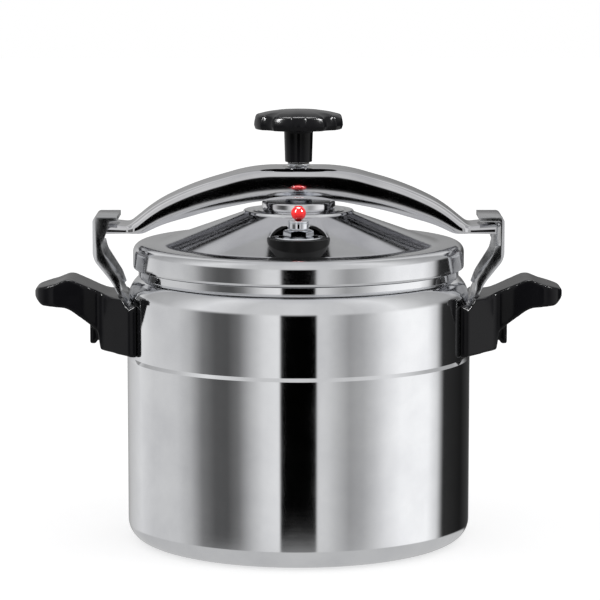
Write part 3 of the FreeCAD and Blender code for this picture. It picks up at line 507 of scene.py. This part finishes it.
# Cured silicone: milky, soft sheen, dusted with talc.
SILICONE = MouldedFinish("moulded_milky_silicone", "d9d6cf", "c4c0b7",
                         0.45, 0.15, 1.43, 0.7, 0.02)


# ---------------------------------------------------------------- sub-assemblies


@dataclass
class Pot:
    """The pot: a turned shell with a ledge half way up, a round shoulder and a beaded neck."""

    material: Material
    wall: float = 2.6
    base: float = 3.4
    base_round: float = 13.0
    body_step: float = 1.2
    ledge_drop: float = 72.0
    ledge_rise: float = 2.3
    neck_length: float = 16.7
    neck_inset: float = 8.4
    shoulder_rise: float = 4.5
    shoulder_round: float = 15.3
    bead_length: float = 5.4
    flange: float = 1.8
    flange_depth: float = 2.8

    def build(self) -> Object:
        """Turns the shell, inside and out, between the CAD pot's foot and mouth."""
        size = high_corner("pot_body")
        radius, mouth = self.pot_radius(), size.z
        upper, ledge = radius - self.body_step, mouth - self.ledge_drop
        neck = upper - self.neck_inset
        notch = mouth - self.neck_length
        shoulder = notch - self.shoulder_rise
        wall = self.wall
        shell = turned("pot_shell", [
            (0.0, 0.35), (88.0, 0.0, 4.0), (radius, 0.0, self.base_round),
            (radius, ledge, 0.35), (upper, ledge + self.ledge_rise, 0.5),
            (upper, shoulder, self.shoulder_round),
            (neck + 0.6, notch, 0.25), (neck + 1.6, notch + 0.6, 0.4),
            (neck + 1.6, notch + self.bead_length, 0.5),
            (neck, notch + self.bead_length + 0.7, 0.4),
            (neck, mouth - self.flange_depth, 0.3),
            (neck + self.flange, mouth - self.flange_depth, 0.4),
            (neck + self.flange, mouth, 0.8),
            (neck - wall, mouth, 1.0),
            (neck - wall, notch - 0.44 * wall, 2.0),
            (upper - wall, shoulder - 0.58 * wall, self.shoulder_round - wall),
            (upper - wall, ledge + self.ledge_rise, 0.5),
            (radius - wall, ledge, 0.5),
            (radius - wall, self.base, self.base_round - wall),
            (0.0, self.base),
        ], steps=224)
        set_piece(shell, Body.POT, self.material, ["pot_body"])
        return shell

    def pot_radius(self) -> float:
        """The pot's outer radius, read off the CAD node across Y, where nothing stands out."""
        return high_corner("pot_body").y


@dataclass
class Lid:
    """The lid: a skirt, a rounded ring, a long cone with two valve pads, and a middle boss.

    The steam valve's pad has painted shade: its face and walls are coloured black.
    """

    material: Material
    # painted shade: the flat black given to the front pad's face and walls
    painted_shade: Material
    wall: float = 2.4
    ring_width: float = 17.8
    cone_rise: float = 20.5
    boss_radius: float = 38.0
    boss_step: float = 1.9
    ring_round: float = 6.0
    spigot: float = 8.05
    bead_radius: float = 31.0
    pad_radius: float = 18.8
    pad_rim: float = 2.0
    pad_depth: float = 8.6
    pad_flare: float = 6.0
    plug_seat_radius: float = 9.0
    clearance: float = 4.0

    def __post_init__(self) -> None:
        """Reads the lid's box and the places of its pads off the CAD nodes."""
        self.radius = high_corner("lid_shell").x
        self.top = high_corner("lid_shell").z
        self.cone_top = self.top - self.boss_step
        self.ring = self.cone_top - self.cone_rise
        self.cone_radius = self.radius - self.ring_width
        self.under = self.ring - self.wall
        self.pad_top = low_corner("vent_washer").z
        self.pad_floor = self.pad_top - self.pad_depth
        self.pad_edge = self.pad_radius + self.pad_rim
        self.pad_offset = high_corner("safety_plug_seat").y - self.plug_seat_radius

    def build(self) -> Object:
        """Turns the lid's sheet, adds the two valve pads and paints black shade on the front one."""
        sheet = self.sheet()
        for side in (-1, 1):
            self.add_pad(sheet, side * self.pad_offset)
        finish_smooth(sheet, 24.0)
        set_piece(sheet, Body.LID, self.material, ["lid_shell"])
        # paints black shade on the front pad's face and walls
        self.paint_shade_on_front_pad(sheet)
        return sheet

    def sheet(self) -> Object:
        """The turned sheet: skirt, ring, cone, and the boss with its raised bead."""
        skirt = low_corner("lid_shell").z
        radius, top, wall, bead = self.radius, self.top, self.wall, self.bead_radius
        return turned("lid_shell_spun", [
            (radius - wall, skirt, 0.5),
            (radius - 0.2, skirt, 0.8),
            (radius, skirt + 1.6, 0.8),
            (radius, self.ring, self.ring_round),
            (self.cone_radius, self.ring, 14.0),
            (self.boss_radius, self.cone_top, 1.6),
            (self.boss_radius - 0.8, top - 0.1, 0.8),
            (bead + 1.6, top - 0.5, 0.6),
            (bead, top, 0.8),
            (bead - 1.6, top - 0.5, 0.6),
            (bead - 2.6, top - 0.1, 0.6),
            (self.spigot, top - 0.1),
            (self.spigot, top - wall),
            (self.boss_radius - 2, top - wall, 0.8),
            (self.cone_radius, self.under, 14.0),
            (radius - wall, self.under, 2.0),
        ], steps=224)

    def add_pad(self, sheet: Object, y: float) -> None:
        """Lets a level pad into the cone: a column is added, and all above its face is cut.

        The two tools have no face in common, which keeps the booleans sure.

        Args:
            sheet: the lid's sheet.
            y: the pad's axis, in millimetres along Y.
        """
        edge, face, floor = self.pad_edge, self.pad_top, self.pad_floor
        column = turned("pad_column", [
            (0.0, floor), (edge, floor), (edge, face + 0.2, 0.2), (0.0, face + 0.2)], steps=94, y=y)
        carve(sheet, column, "UNION")
        clear = turned("pad_clear", [
            (0.0, face), (self.pad_radius, face, 0.6), (edge + 0.3, face + self.pad_flare),
            (edge + 0.3, self.top + self.clearance), (0.0, self.top + self.clearance)],
            steps=94, y=y)
        carve(sheet, clear)

    def paint_shade_on_front_pad(self, sheet: Object) -> None:
        """Colours the front pad's face and walls black as painted shade, and nothing of the cone."""
        sheet.data.materials.append(self.painted_shade)
        axis = Vector((0, -self.pad_offset))
        slope = self.cone_rise / (self.cone_radius - self.boss_radius)
        for face in sheet.data.polygons:
            place = face.center / MM
            near = (place.xy - axis).length < self.pad_edge + 0.1
            on_cone = 0.9 < face.normal.z < 0.98
            if near and not on_cone and self.pad_floor + 0.1 < place.z < self.pad_top + 8:
                over = self.cone_radius - math.hypot(place.x, place.y)
                if place.z > self.under + over * slope + 1.2:
                    # painted shade: this face of the pad gets the flat black
                    face.material_index = 1


@dataclass
class ThrustDish:
    """The cup in the lid's middle that takes the screw's push."""

    material: Material
    radius: float = 25.0
    mouth: float = 22.8
    ledge_radius: float = 21.5
    ledge_depth: float = 1.5
    pocket: float = 14.6
    floor: float = 1.0
    spigot: float = 8.0

    def build(self) -> Object:
        """Turns the cup with its softened rim and its spigot."""
        top = high_corner("thrust_dish").z
        seat = high_corner("lid_shell").z
        dish = turned("thrust_cup", [
            (0.0, low_corner("thrust_dish").z), (self.spigot, low_corner("thrust_dish").z, 0.4),
            (self.spigot, seat), (self.radius - 0.6, seat), (self.radius, seat + 0.7, 0.6),
            (self.radius, top, 1.1), (self.mouth, top, 0.5),
            (self.ledge_radius, top - 0.5, 0.2), (self.ledge_radius, top - self.ledge_depth),
            (self.pocket, top - self.ledge_depth, 0.3), (self.pocket, seat + self.floor, 0.4),
            (0.0, seat + self.floor),
        ], steps=128)
        set_piece(dish, Body.LID, self.material, ["thrust_dish"])
        return dish


@dataclass
class Beam:
    """The clamp beam: an arched channel with a soft top and a tongue at each end."""

    material: Material
    wall: float = 2.5
    corner: float = 5.5
    tongue_inset: float = 2.0
    tuck: float = 1.3
    tuck_share: float = 0.44
    stations: int = 300
    nut_hole: float = 10.55
    arc_points: int = 7
    tongue_thickness: float = 7.2
    middle_depth: float = 20.4
    tongue_start: float = 111.0
    tongue_blend: float = 5.0

    def __post_init__(self) -> None:
        """Reads the beam's box off the CAD node."""
        self.top = high_corner("beam").z
        self.reach = high_corner("beam").x
        self.half_width = high_corner("beam").y
        self.tongue_bottom = low_corner("beam").z
        self.tongue_top = self.tongue_bottom + self.tongue_thickness

    def upper_line(self) -> list[Corner]:
        """The top outline from the middle to one end, with its rounds."""
        return [(0.0, self.top), (30.0, self.top, 105.0), (72.0, self.top - 12.1, 190.0),
                (97.0, self.top - 24.2, 90.0), (115.2, self.tongue_top - 2.0, 7.0),
                (self.reach, self.tongue_top)]

    def lower_line(self) -> list[Corner]:
        """The bottom outline from the middle to one end, with its rounds."""
        low = self.top - self.middle_depth
        return [(0.0, low), (20.0, low, 170.0), (58.0, low - 7.4, 260.0), (92.0, low - 17.2, 90.0),
                (105.0, self.tongue_bottom + 0.4, 12.0), (self.reach, self.tongue_bottom)]

    @staticmethod
    def height_at(line: Sequence[Corner], x: float) -> float:
        """The height of a line with rounded corners at a distance from the middle.

        Args:
            line: its corners, from the middle outwards.
            x: the distance, in millimetres.

        Returns:
            The height in millimetres.
        """
        x = abs(x)
        for before, corner, after in zip(line, line[1:], line[2:]):
            here = Vector(corner[:2])
            back = (Vector(before[:2]) - here).normalized()
            ahead = (Vector(after[:2]) - here).normalized()
            turn = math.pi - back.angle(ahead)
            length = corner[2] * math.tan(turn / 2)
            start, end = here + back * length, here + ahead * length
            if start.x <= x <= end.x:
                middle = (back + ahead).normalized()
                centre = here + middle * corner[2] / math.cos(turn / 2)
                rise = math.sqrt(max(corner[2] ** 2 - (x - centre.x) ** 2, 0.0))
                return centre.y + math.copysign(rise, here.y - centre.y)
        for before, after in zip(line, line[1:]):
            if x <= after[0] + 1e-6:
                share = (x - before[0]) / (after[0] - before[0])
                return before[1] + share * (after[1] - before[1])
        return line[-1][1]

    def section(self, x: float) -> list[tuple[float, float]]:
        """The channel's closed section at one station, as (y, z) points round it."""
        top = self.height_at(self.upper_line(), x)
        bottom = self.height_at(self.lower_line(), x)
        narrow = min(max((abs(x) - self.tongue_start) / self.tongue_blend, 0.0), 1.0)
        half = self.half_width - self.tongue_inset * narrow ** 2 * (3 - 2 * narrow)
        corner = min(self.corner, (top - bottom) * 0.6)
        kink = bottom + (top - corner - bottom) * self.tuck_share
        tuck = self.tuck * min(1.0, (kink - bottom) / 6.0)
        outer = [(half - tuck, bottom), (half - tuck * 0.5, (bottom + kink) / 2), (half, kink)]
        outer += [(half - corner + corner * math.cos(a), top - corner + corner * math.sin(a))
                  for a in (math.pi / 2 * i / self.arc_points for i in range(self.arc_points + 1))]
        outer += [(half * share, top) for share in (0.5, 0.25, 0.0)]
        left = [(-y, z) for y, z in reversed(outer[:-1])]
        inner_half, inner_top = half - self.wall, top - self.wall
        inner = max(corner - self.wall, 0.8)
        inside = [(inner_half - tuck, bottom), (inner_half, kink)]
        inside += [(inner_half - inner + inner * math.cos(a), inner_top - inner + inner * math.sin(a))
                   for a in (math.pi / 2 * i / 4 for i in range(5))]
        inside.append((0.0, inner_top))
        inside_left = [(-y, z) for y, z in reversed(inside[:-1])]
        return outer + left + list(reversed(inside + inside_left))

    def build(self) -> Object:
        """Lays a grid along the arch, folds it into the channel and bores the nut's hole."""
        round_count = len(self.section(0.0))
        pick_only()
        bpy.ops.mesh.primitive_grid_add(
            x_subdivisions=self.stations, y_subdivisions=round_count, size=MM)
        beam = bpy.context.object
        beam.name = beam.data.name = "clamp_beam"
        sections = [self.section(-self.reach + 2 * self.reach * i / self.stations)
                    for i in range(self.stations + 1)]
        for vertex in beam.data.vertices:
            column = round((vertex.co.x / MM + 0.5) * self.stations)
            row = round((vertex.co.y / MM + 0.5) * round_count) % round_count
            y, z = sections[column][row]
            x = -self.reach + 2 * self.reach * column / self.stations
            vertex.co = Vector((x, y, z)) * MM
        with editing(beam):
            close_up()
            for end in (-self.reach, self.reach):
                pick_points(beam, lambda place: abs(place.x - end) < 0.01)
                bpy.ops.mesh.edge_face_add()
            close_up()
        bore = turned("nut_bore", [(0.0, self.top - 6), (self.nut_hole, self.top - 6),
                                   (self.nut_hole, self.top + 3), (0.0, self.top + 3)], steps=64)
        carve(beam, bore)
        apply_modifier(beam, "BEVEL", width=0.35 * MM, segments=2, limit_method="ANGLE",
                       angle_limit=math.radians(50))
        finish_smooth(beam, 28.0)
        set_piece(beam, Body.BEAM, self.material, ["beam"])
        return beam


@dataclass
class HookArms:
    """The two bent strips that hold the beam's tongues."""

    material: Material
    edge: float = 0.55

    def build(self) -> list[Object]:
        """Breaks the sharp edges of each arm, as tumbling does."""
        arms = []
        for side in ("right", "left"):
            arm = from_cad(f"hook_strip_{side}", f"hook_arm_{side}")
            apply_modifier(arm, "BEVEL", width=self.edge * MM, segments=3, limit_method="ANGLE",
                           angle_limit=math.radians(32))
            finish_smooth(arm, 32.0)
            set_piece(arm, Body.POT, self.material, [f"hook_arm_{side}"])
            arms.append(arm)
        return arms


@dataclass
class SideHandles:
    """The two moulded handles: a horn-shaped grip over a block that hugs the pot."""

    material: Material
    voxel: float = 0.8
    rounds: int = 14

    def build(self) -> list[Object]:
        """Softens each handle all over, as a moulding is, and smooths its skin."""
        handles = []
        for side in ("right", "left"):
            handle = from_cad(f"moulded_handle_{side}", f"handle_{side}")
            apply_modifier(handle, "REMESH", mode="VOXEL", voxel_size=self.voxel * MM)
            apply_modifier(handle, "SMOOTH", factor=0.5, iterations=self.rounds)
            pick_only(handle)
            bpy.ops.object.shade_smooth()
            set_piece(handle, Body.POT, self.material, [f"handle_{side}"])
            handles.append(handle)
        return handles


@dataclass
class Knob:
    """The moulded knob: a neck and a crowned cap with round lobes."""

    material: Material
    neck: float = 9.2
    neck_height: float = 22.5
    rim: float = 9.5
    crown: float = 4.0
    bore: float = 7.25
    lobes: int = 8
    scallop: float = 12.0
    scallop_depth: float = 2.2
    hub: float = 12.0

    def scalloped(self, place: Vector, radius: float) -> Vector:
        """A place on the cap, drawn in where a scallop passes.

        Args:
            place: the place in millimetres.
            radius: the cap's radius.

        Returns:
            The new place.
        """
        reach = math.hypot(place.x, place.y)
        if reach < self.hub:
            return place
        centre = radius + self.scallop - self.scallop_depth
        sector = 2 * math.pi / self.lobes
        angle = math.remainder(math.atan2(place.y, place.x), sector)
        inside = self.scallop ** 2 - (centre * math.sin(angle)) ** 2
        edge = radius
        if inside > 0:
            edge = min(radius, centre * math.cos(angle) - math.sqrt(inside))
        blend = min(1.0, (reach - self.hub) / (radius - self.hub - 4.0)) ** 1.5
        share = 1 - blend * (1 - edge / radius)
        return Vector((place.x * share, place.y * share, place.z))

    def build(self) -> Object:
        """Turns the blank and draws its rim in between the lobes."""
        bottom, radius = low_corner("knob").z, high_corner("knob").y
        neck_top = bottom + self.neck_height
        top = neck_top + self.rim
        head = neck_top + self.rim * 0.5
        blank = turned("lobed_knob", [
            (self.bore, bottom, 0.3), (self.neck, bottom, 0.6), (self.neck + 0.7, neck_top, 3.0),
            (16.0, neck_top), (22.0, neck_top), (radius - 1.0, neck_top, 1.2),
            (radius, neck_top + 3, 1.2), (radius - 0.2, neck_top + 5.4),
            (radius - 1.2, top, 2.6), (22.0, top + 1.9, 30.0), (14.0, top + 3.1),
            (0.0, top + self.crown), (0.0, head), (self.bore, head),
        ], steps=256)
        reshape(blank, lambda place: self.scalloped(place, radius))
        finish_smooth(blank, 50.0)
        set_piece(blank, Body.SCREW, self.material, ["knob"])
        return blank


@dataclass
class Spindle:
    """The clamp screw, with a right-hand thread of 2 mm pitch cut into its shank."""

    material: Material
    tip: float = 5.5
    head: float = 5.0
    pitch: float = 2.0
    thread_depth: float = 0.8
    ring_step: float = 0.2

    def build(self) -> Object:
        """Turns the spindle and cuts the thread between the foot and the knob."""
        bottom, top = low_corner("screw_spindle").z, high_corner("screw_spindle").z
        hub, shoulder = high_corner("screw_foot").z, low_corner("knob").z
        radius = high_corner("screw_spindle").x
        first, last = hub + 1.4, shoulder - 0.9
        count = round((last - first) / self.ring_step)
        shank = [(radius, first + (last - first) * i / count) for i in range(count + 1)]
        spindle = turned("clamp_screw", [
            (0.0, bottom), (self.tip, bottom, 0.4), (self.tip, hub), (radius - 1.0, hub),
            *shank, (radius - 0.8, shoulder), (self.head, shoulder), (self.head, top), (0.0, top),
        ], steps=72)

        def threaded(place: Vector) -> Vector:
            """A place on the shank, cut down where the thread's groove passes."""
            reach = math.hypot(place.x, place.y)
            if reach < radius - 0.05 or not first <= place.z <= last:
                return place
            turn = place.z / self.pitch - math.atan2(place.y, place.x) / (2 * math.pi)
            flank = 1 - abs(2 * (turn % 1.0) - 1)
            ends = min(1.0, (place.z - first) / 1.2, (last - place.z) / 1.2)
            depth = self.thread_depth * min(max(flank * 1.3 - 0.15, 0.0), 1.0) * ends
            share = (reach - depth) / reach
            return Vector((place.x * share, place.y * share, place.z))

        reshape(spindle, threaded)
        finish_smooth(spindle, 40.0)
        set_piece(spindle, Body.SCREW, self.material, ["screw_spindle"])
        return spindle


@dataclass
class SteamValve:
    """The steam valve: a hexagon nut on a washer, the weight on its pipe, and its red ball."""

    chrome: Material
    red: Material
    bore: float = 5.05
    weight_bore: float = 5.4
    stud: float = 1.5
    ball: float = 4.95
    stud_height: float = 4.0
    socket_depth: float = 4.2
    seam: float = 0.06
    seam_angle: float = 0.05

    def __post_init__(self) -> None:
        """Finds the valve's axis in the middle of its washer."""
        self.axis_y = (low_corner("vent_washer").y + high_corner("vent_washer").y) / 2

    def build(self) -> list[Object]:
        """Models the washer, the nut, the weight and the ball."""
        return [self.washer(), self.nut(), self.weight(), self.knob_ball()]

    def washer(self) -> Object:
        """The wide dished washer under the nut."""
        low, high = low_corner("vent_washer").z, high_corner("vent_washer").z
        radius = high_corner("vent_washer").x
        washer = turned("valve_washer", [
            (self.bore, low), (radius - 0.2, low), (radius, low + 0.3, 0.2),
            (radius - 0.35, high, 0.3), (self.bore, high)], steps=96, y=self.axis_y)
        set_piece(washer, Body.LID, self.chrome, ["vent_washer"])
        return washer

    def nut(self) -> Object:
        """The hexagon nut, with both faces chamfered to a circle."""
        low, high = low_corner("vent_nut").z, high_corner("vent_nut").z
        corner_radius = max(high_corner("vent_nut").x, high_corner("vent_nut").y - self.axis_y)
        pick_only()
        bpy.ops.mesh.primitive_cylinder_add(
            vertices=6, radius=corner_radius * MM, depth=(high - low) * MM,
            location=(0, self.axis_y * MM, (high + low) / 2 * MM))
        nut = bpy.context.object
        nut.name = nut.data.name = "valve_nut"
        pick_only(nut)
        bpy.ops.object.transform_apply(location=True, rotation=True, scale=True)
        with editing(nut):
            close_up()
            if high_corner("vent_nut").x > corner_radius - 0.3:
                bpy.ops.transform.rotate(value=math.radians(30), orient_axis="Z",
                                         center_override=(0, self.axis_y * MM, 0))
        across = corner_radius * math.cos(math.pi / 6)
        chamfer = turned("nut_chamfer", [
            (0.0, low), (across - 0.2, low), (corner_radius + 0.6, low + 1.0),
            (corner_radius + 0.6, high - 1.0), (across - 0.2, high), (0.0, high)],
            steps=96, y=self.axis_y)
        carve(nut, chamfer, "INTERSECT")
        bore = turned("nut_bore", [(0.0, low - 1), (self.bore, low - 1), (self.bore, high + 1),
                                   (0.0, high + 1)], steps=64, y=self.axis_y)
        carve(nut, bore)
        apply_modifier(nut, "BEVEL", width=0.15 * MM, segments=2, limit_method="ANGLE",
                       angle_limit=math.radians(40))
        finish_smooth(nut, 30.0)
        set_piece(nut, Body.LID, self.chrome, ["vent_nut"])
        return nut

    def weight(self) -> Object:
        """The weight: a plain pillar with a waist line and a stud for the ball."""
        low, radius = low_corner("valve_weight").z, high_corner("valve_weight").x
        stud_top = high_corner("valve_weight").z
        shoulder = stud_top - self.stud_height
        pipe_top = high_corner("vent_pipe").z
        weight = turned("valve_pillar", [
            (0.0, pipe_top + 0.2), (4.0, pipe_top + 0.2), (self.weight_bore, pipe_top - 1.6),
            (self.weight_bore, low), (radius - 0.5, low, 0.3), (radius, low + 0.9, 0.4),
            (radius, shoulder - 1.9, 0.2), (radius - 0.35, shoulder - 1.6, 0.1),
            (radius, shoulder - 1.3, 0.2), (radius, shoulder, 1.0),
            (self.stud, shoulder), (self.stud, stud_top), (0.0, stud_top)],
            steps=96, y=self.axis_y)
        set_piece(weight, Body.VALVE, self.chrome, ["valve_weight"])
        return weight

    def knob_ball(self) -> Object:
        """The red ball, flat underneath, with the thin parting line of its mould."""
        low, high = low_corner("valve_ball").z, high_corner("valve_ball").z
        middle = high - self.ball
        start = math.asin(max(-1.0, (low - middle) / self.ball))
        points = 40
        arc = []
        for i in range(points + 1):
            angle = start + (math.pi / 2 - start) * i / points
            seam = self.seam * math.exp(-((angle / self.seam_angle) ** 2))
            reach = (self.ball - self.seam + seam) * math.cos(angle)
            arc.append((max(reach, 0.0), middle + self.ball * math.sin(angle)))
        arc[-1] = (0.0, high)
        ball = turned("valve_red_ball", [
            (0.0, low + self.socket_depth), (self.stud + 0.05, low + self.socket_depth),
            (self.stud + 0.05, low), *arc],
            steps=96, y=self.axis_y)
        set_piece(ball, Body.VALVE, self.red, ["valve_ball"])
        return ball


@dataclass
class CadPieces:
    """The small parts whose CAD shapes are right as they are, and only need their finishes."""

    finishes: dict[str, Material] = field(default_factory=dict)

    def dress(self) -> None:
        """Gives every CAD node that still shows its finish."""
        for node, material in self.finishes.items():
            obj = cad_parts[node]
            obj.data.materials.clear()
            obj.data.materials.append(material)
            LOG.info("%s: dressed as %s", node, material.name)


# ---------------------------------------------------------------- studio


@dataclass(frozen=True)
class Panel:
    """A studio panel as the metal sees it: a stop at an azimuth, and how bright it is there.

    The azimuth is 0 towards the front and grows towards the right-hand side.
    """

    azimuth: float
    brightness: float


@dataclass
class Studio:
    """A pale floor, a white surround, panels for the metal to mirror, lamps and the camera."""

    # at the level of the object: soft boxes and black flags all round
    walls: tuple[Panel, ...] = (
        Panel(-180, 0.30), Panel(-168, 0.40), Panel(-156, 0.54), Panel(-131, 0.78),
        Panel(-114, 0.66), Panel(-88, 0.64), Panel(-77, 0.50), Panel(-67, 0.20),
        Panel(-57, 0.10), Panel(-48, 0.09), Panel(-40, 0.18), Panel(-31, 0.52),
        Panel(-23, 0.76), Panel(-12.6, 0.86), Panel(-11.3, 0.0), Panel(11.3, 0.0),
        Panel(12.6, 0.70), Panel(19, 0.66), Panel(26, 0.51), Panel(34, 0.35), Panel(43, 0.44),
        Panel(51, 0.62), Panel(60, 0.86), Panel(72, 1.04), Panel(96, 1.06), Panel(106, 0.72),
        Panel(113, 0.03), Panel(140, 0.012), Panel(162, 0.05), Panel(180, 0.30),
    )
    # higher up: broad soft light with a few darker gaps between its boxes
    ceiling: tuple[Panel, ...] = (
        Panel(-180, 0.42), Panel(-165, 0.40), Panel(-150, 0.75), Panel(-140, 0.80),
        Panel(-128, 0.42), Panel(-100, 0.52), Panel(-70, 0.85), Panel(-40, 0.62),
        Panel(0, 0.70), Panel(40, 0.62), Panel(70, 0.85), Panel(100, 0.52), Panel(128, 0.40),
        Panel(142, 0.82), Panel(152, 0.72), Panel(166, 0.40), Panel(180, 0.42),
    )
    # the elevations, in degrees, over which one part of the surround fades into the next
    ceiling_band: tuple[float, float] = (0, 14)
    overhead_band: tuple[float, float] = (55, 80)
    floor_band: tuple[float, float] = (-15, -18)
    overhead_tone: tuple[float, ...] = (0.62, 0.62, 0.63, 1)
    floor_tone: float = 0.55
    floor_glow: float = 0.5
    camera_place: tuple[float, float, float] = (0.001, -2.0, 0.437)
    camera_aim: tuple[float, float, float] = (0.001, 0.0, 0.163)
    lens: float = 177.0

    @staticmethod
    def ramp(tree: NodeTree, turn: NodeSocket,
             panels: Sequence[Panel]) -> NodeSocket:
        """A ring of panels as a colour ramp over the azimuth.

        Args:
            tree: the world's node tree.
            turn: the azimuth from 0 to 1.
            panels: the stops in order.

        Returns:
            The brightness output.
        """
        node = add_node(tree, "ValToRGB", inputs={0: turn})
        stops = node.color_ramp.elements
        while len(stops) < len(panels):
            stops.new(0.5)
        for stop, panel in zip(stops, panels):
            stop.position = (panel.azimuth + 180) / 360
            stop.color = (panel.brightness, panel.brightness, panel.brightness, 1)
        return node.outputs[0]

    @staticmethod
    def fade(tree: NodeTree, height: NodeSocket,
             band: tuple[float, float]) -> NodeSocket:
        """Rises from 0 to 1 between two elevations.

        Args:
            tree: the world's node tree.
            height: the sine of the elevation.
            band: the two elevations in degrees.

        Returns:
            The factor output.
        """
        start, end = (math.sin(math.radians(elevation)) for elevation in band)
        return add_node(tree, "MapRange", {"interpolation_type": "SMOOTHSTEP"},
                        {"Value": height, "From Min": start, "From Max": end}).outputs[0]

    def surround(self) -> None:
        """Builds the world: what the metal mirrors, and plain white for the view itself."""
        world = bpy.data.worlds.new("studio_surround")
        bpy.context.scene.world = world
        world.use_nodes = True
        tree = world.node_tree
        tree.nodes.clear()
        place = add_node(tree, "TexCoord")
        parts = add_node(tree, "SeparateXYZ", inputs={0: place.outputs["Generated"]})
        front = add_node(tree, "Math", {"operation": "MULTIPLY"}, {0: parts.outputs[1], 1: -1.0})
        azimuth = add_node(tree, "Math", {"operation": "ARCTAN2"},
                           {0: parts.outputs[0], 1: front.outputs[0]})
        turn = add_node(tree, "MapRange", inputs={
            "Value": azimuth.outputs[0], "From Min": -math.pi, "From Max": math.pi})
        walls = self.ramp(tree, turn.outputs[0], self.walls)
        ceiling = self.ramp(tree, turn.outputs[0], self.ceiling)
        height = parts.outputs[2]
        upper = mixed(tree, self.fade(tree, height, self.ceiling_band), walls, ceiling)
        lit = mixed(tree, self.fade(tree, height, self.overhead_band), upper, self.overhead_tone)
        mirrored = mixed(tree, self.fade(tree, height, self.floor_band), lit,
                         (self.floor_tone, self.floor_tone, self.floor_tone, 1))
        seen = add_node(tree, "LightPath")
        shown = mixed(tree, seen.outputs["Is Camera Ray"], mirrored, (1, 1, 1, 1))
        light = add_node(tree, "Background", inputs={0: shown, 1: 1.0})
        output = tree.nodes.new("ShaderNodeOutputWorld")
        tree.links.new(light.outputs[0], output.inputs[0])

    def floor(self) -> None:
        """Lays the plain pale floor, which the metal doesn't mirror."""
        pick_only()
        bpy.ops.mesh.primitive_plane_add(size=12.0, location=(0, 0, -0.0004))
        floor = bpy.context.object
        floor.name = "studio_floor"
        floor.visible_glossy = False
        material, tree, output = new_material("matt_white_sweep")
        grain = add_node(tree, "TexNoise", inputs={"Scale": 40.0, "Detail": 2.0})
        tone = mixed(tree, grain.outputs["Fac"], (0.93, 0.93, 0.93, 1), (0.95, 0.95, 0.95, 1))
        shader = add_node(tree, "BsdfPrincipled", inputs={
            "Base Color": tone, "Roughness": 0.9, "Specular IOR Level": 0.0,
            "Emission Color": (1, 1, 1, 1), "Emission Strength": self.floor_glow})
        tree.links.new(shader.outputs[0], output.inputs[0])
        floor.data.materials.append(material)

    def lamp(self, name: str, place: Sequence[float], aim: Sequence[float],
             size: tuple[float, float], power: float) -> Object:
        """Hangs a rectangular soft lamp.

        Args:
            name: the lamp's name.
            place: where it hangs, in metres.
            aim: what it points at.
            size: its width and height.
            power: its power in watts.

        Returns:
            The lamp.
        """
        light = bpy.data.lights.new(name, "AREA")
        light.shape = "RECTANGLE"
        light.size, light.size_y = size
        light.energy = power
        lamp = bpy.data.objects.new(name, light)
        lamp.location = place
        lamp.rotation_euler = (Vector(aim) - Vector(place)).to_track_quat("-Z", "Y").to_euler()
        bpy.context.scene.collection.objects.link(lamp)
        return lamp

    def lamps(self, black_parts: Sequence[Object]) -> None:
        """Hangs the overhead box and the narrow boxes that put highlights on the black parts.

        Args:
            black_parts: the moulded pieces that the lamps light, so that no metal mirrors them.
        """
        lit = bpy.data.collections.new("lit_by_lamps")
        for piece in black_parts:
            lit.objects.link(piece)
        for name, place, size, power in (
            ("overhead_box", (0.0, 0.3, 2.2), (1.2, 1.2), 90.0),
            ("left_strip", (-1.6, -1.1, 1.5), (0.30, 1.2), 160.0),
            ("right_strip", (1.7, -0.9, 1.6), (0.25, 1.2), 150.0),
        ):
            self.lamp(name, place, (0, 0, 0.15), size, power).light_linking.receiver_collection = lit

    def camera(self) -> None:
        """Sets up the camera in front and a little above."""
        camera = bpy.data.cameras.new("front_camera")
        camera.lens = self.lens
        camera.sensor_width = 36.0
        camera.clip_end = 50.0
        eye = bpy.data.objects.new("front_camera", camera)
        eye.location = self.camera_place
        aim = Vector(self.camera_aim) - Vector(self.camera_place)
        eye.rotation_euler = aim.to_track_quat("-Z", "Y").to_euler()
        bpy.context.scene.collection.objects.link(eye)
        bpy.context.scene.camera = eye

    def build(self, black_parts: Sequence[Object]) -> None:
        """Builds the whole studio, shown without a film curve so that white stays white."""
        bpy.context.scene.view_settings.view_transform = "Standard"
        self.surround()
        self.floor()
        self.lamps(black_parts)
        self.camera()


def main() -> None:
    """Models and dresses every sub-assembly, then sets up the studio."""
    logging.basicConfig(level=logging.INFO, format="%(name)s %(message)s")
    pot, lid = POT_ALUMINIUM.material(), LID_ALUMINIUM.material()
    beam, arm = BEAM_STEEL.material(), ARM_STEEL.material()
    rivet, chrome = RIVET_ALUMINIUM.material(), CHROME.material()
    zinc, brass = ZINC.material(), BRASS.material()
    bakelite, red, silicone = BAKELITE.material(), RED_BALL.material(), SILICONE.material()
    # the first of these is the flat black of the painted shade on the front valve pad
    shade_finish, nickel = PAINTED_PAD_SHADE.material(), NICKEL.material()
    Pot(pot).build()
    # the lid carries the painted shade on its front valve pad
    Lid(lid, shade_finish).build()
    ThrustDish(beam).build()
    Beam(beam).build()
    HookArms(arm).build()
    black_parts = [*SideHandles(bakelite).build(), Knob(bakelite).build()]
    Spindle(chrome).build()
    valve = SteamValve(chrome, red).build()
    CadPieces({
        "arm_rivets": rivet, "bracket_rivets": rivet,
        "handle_bracket_right": zinc, "handle_bracket_left": zinc,
        "handle_screws": zinc, "handle_washers": zinc,
        "lid_gasket": silicone, "vent_seal": silicone, "safety_plug": silicone,
        "dish_nut": zinc, "thrust_seat": zinc, "foot_trap_ring": zinc, "screw_foot": zinc,
        "vent_lock_nut": brass, "vent_pipe": brass, "knob_insert": nickel, "beam_nut": nickel,
        "anti_clog_cap": chrome, "safety_plug_seat": chrome, "beam_washer": zinc,
    }).dress()
    Studio().build([*black_parts, valve[-1]])


if __name__ == "__main__":
    main()
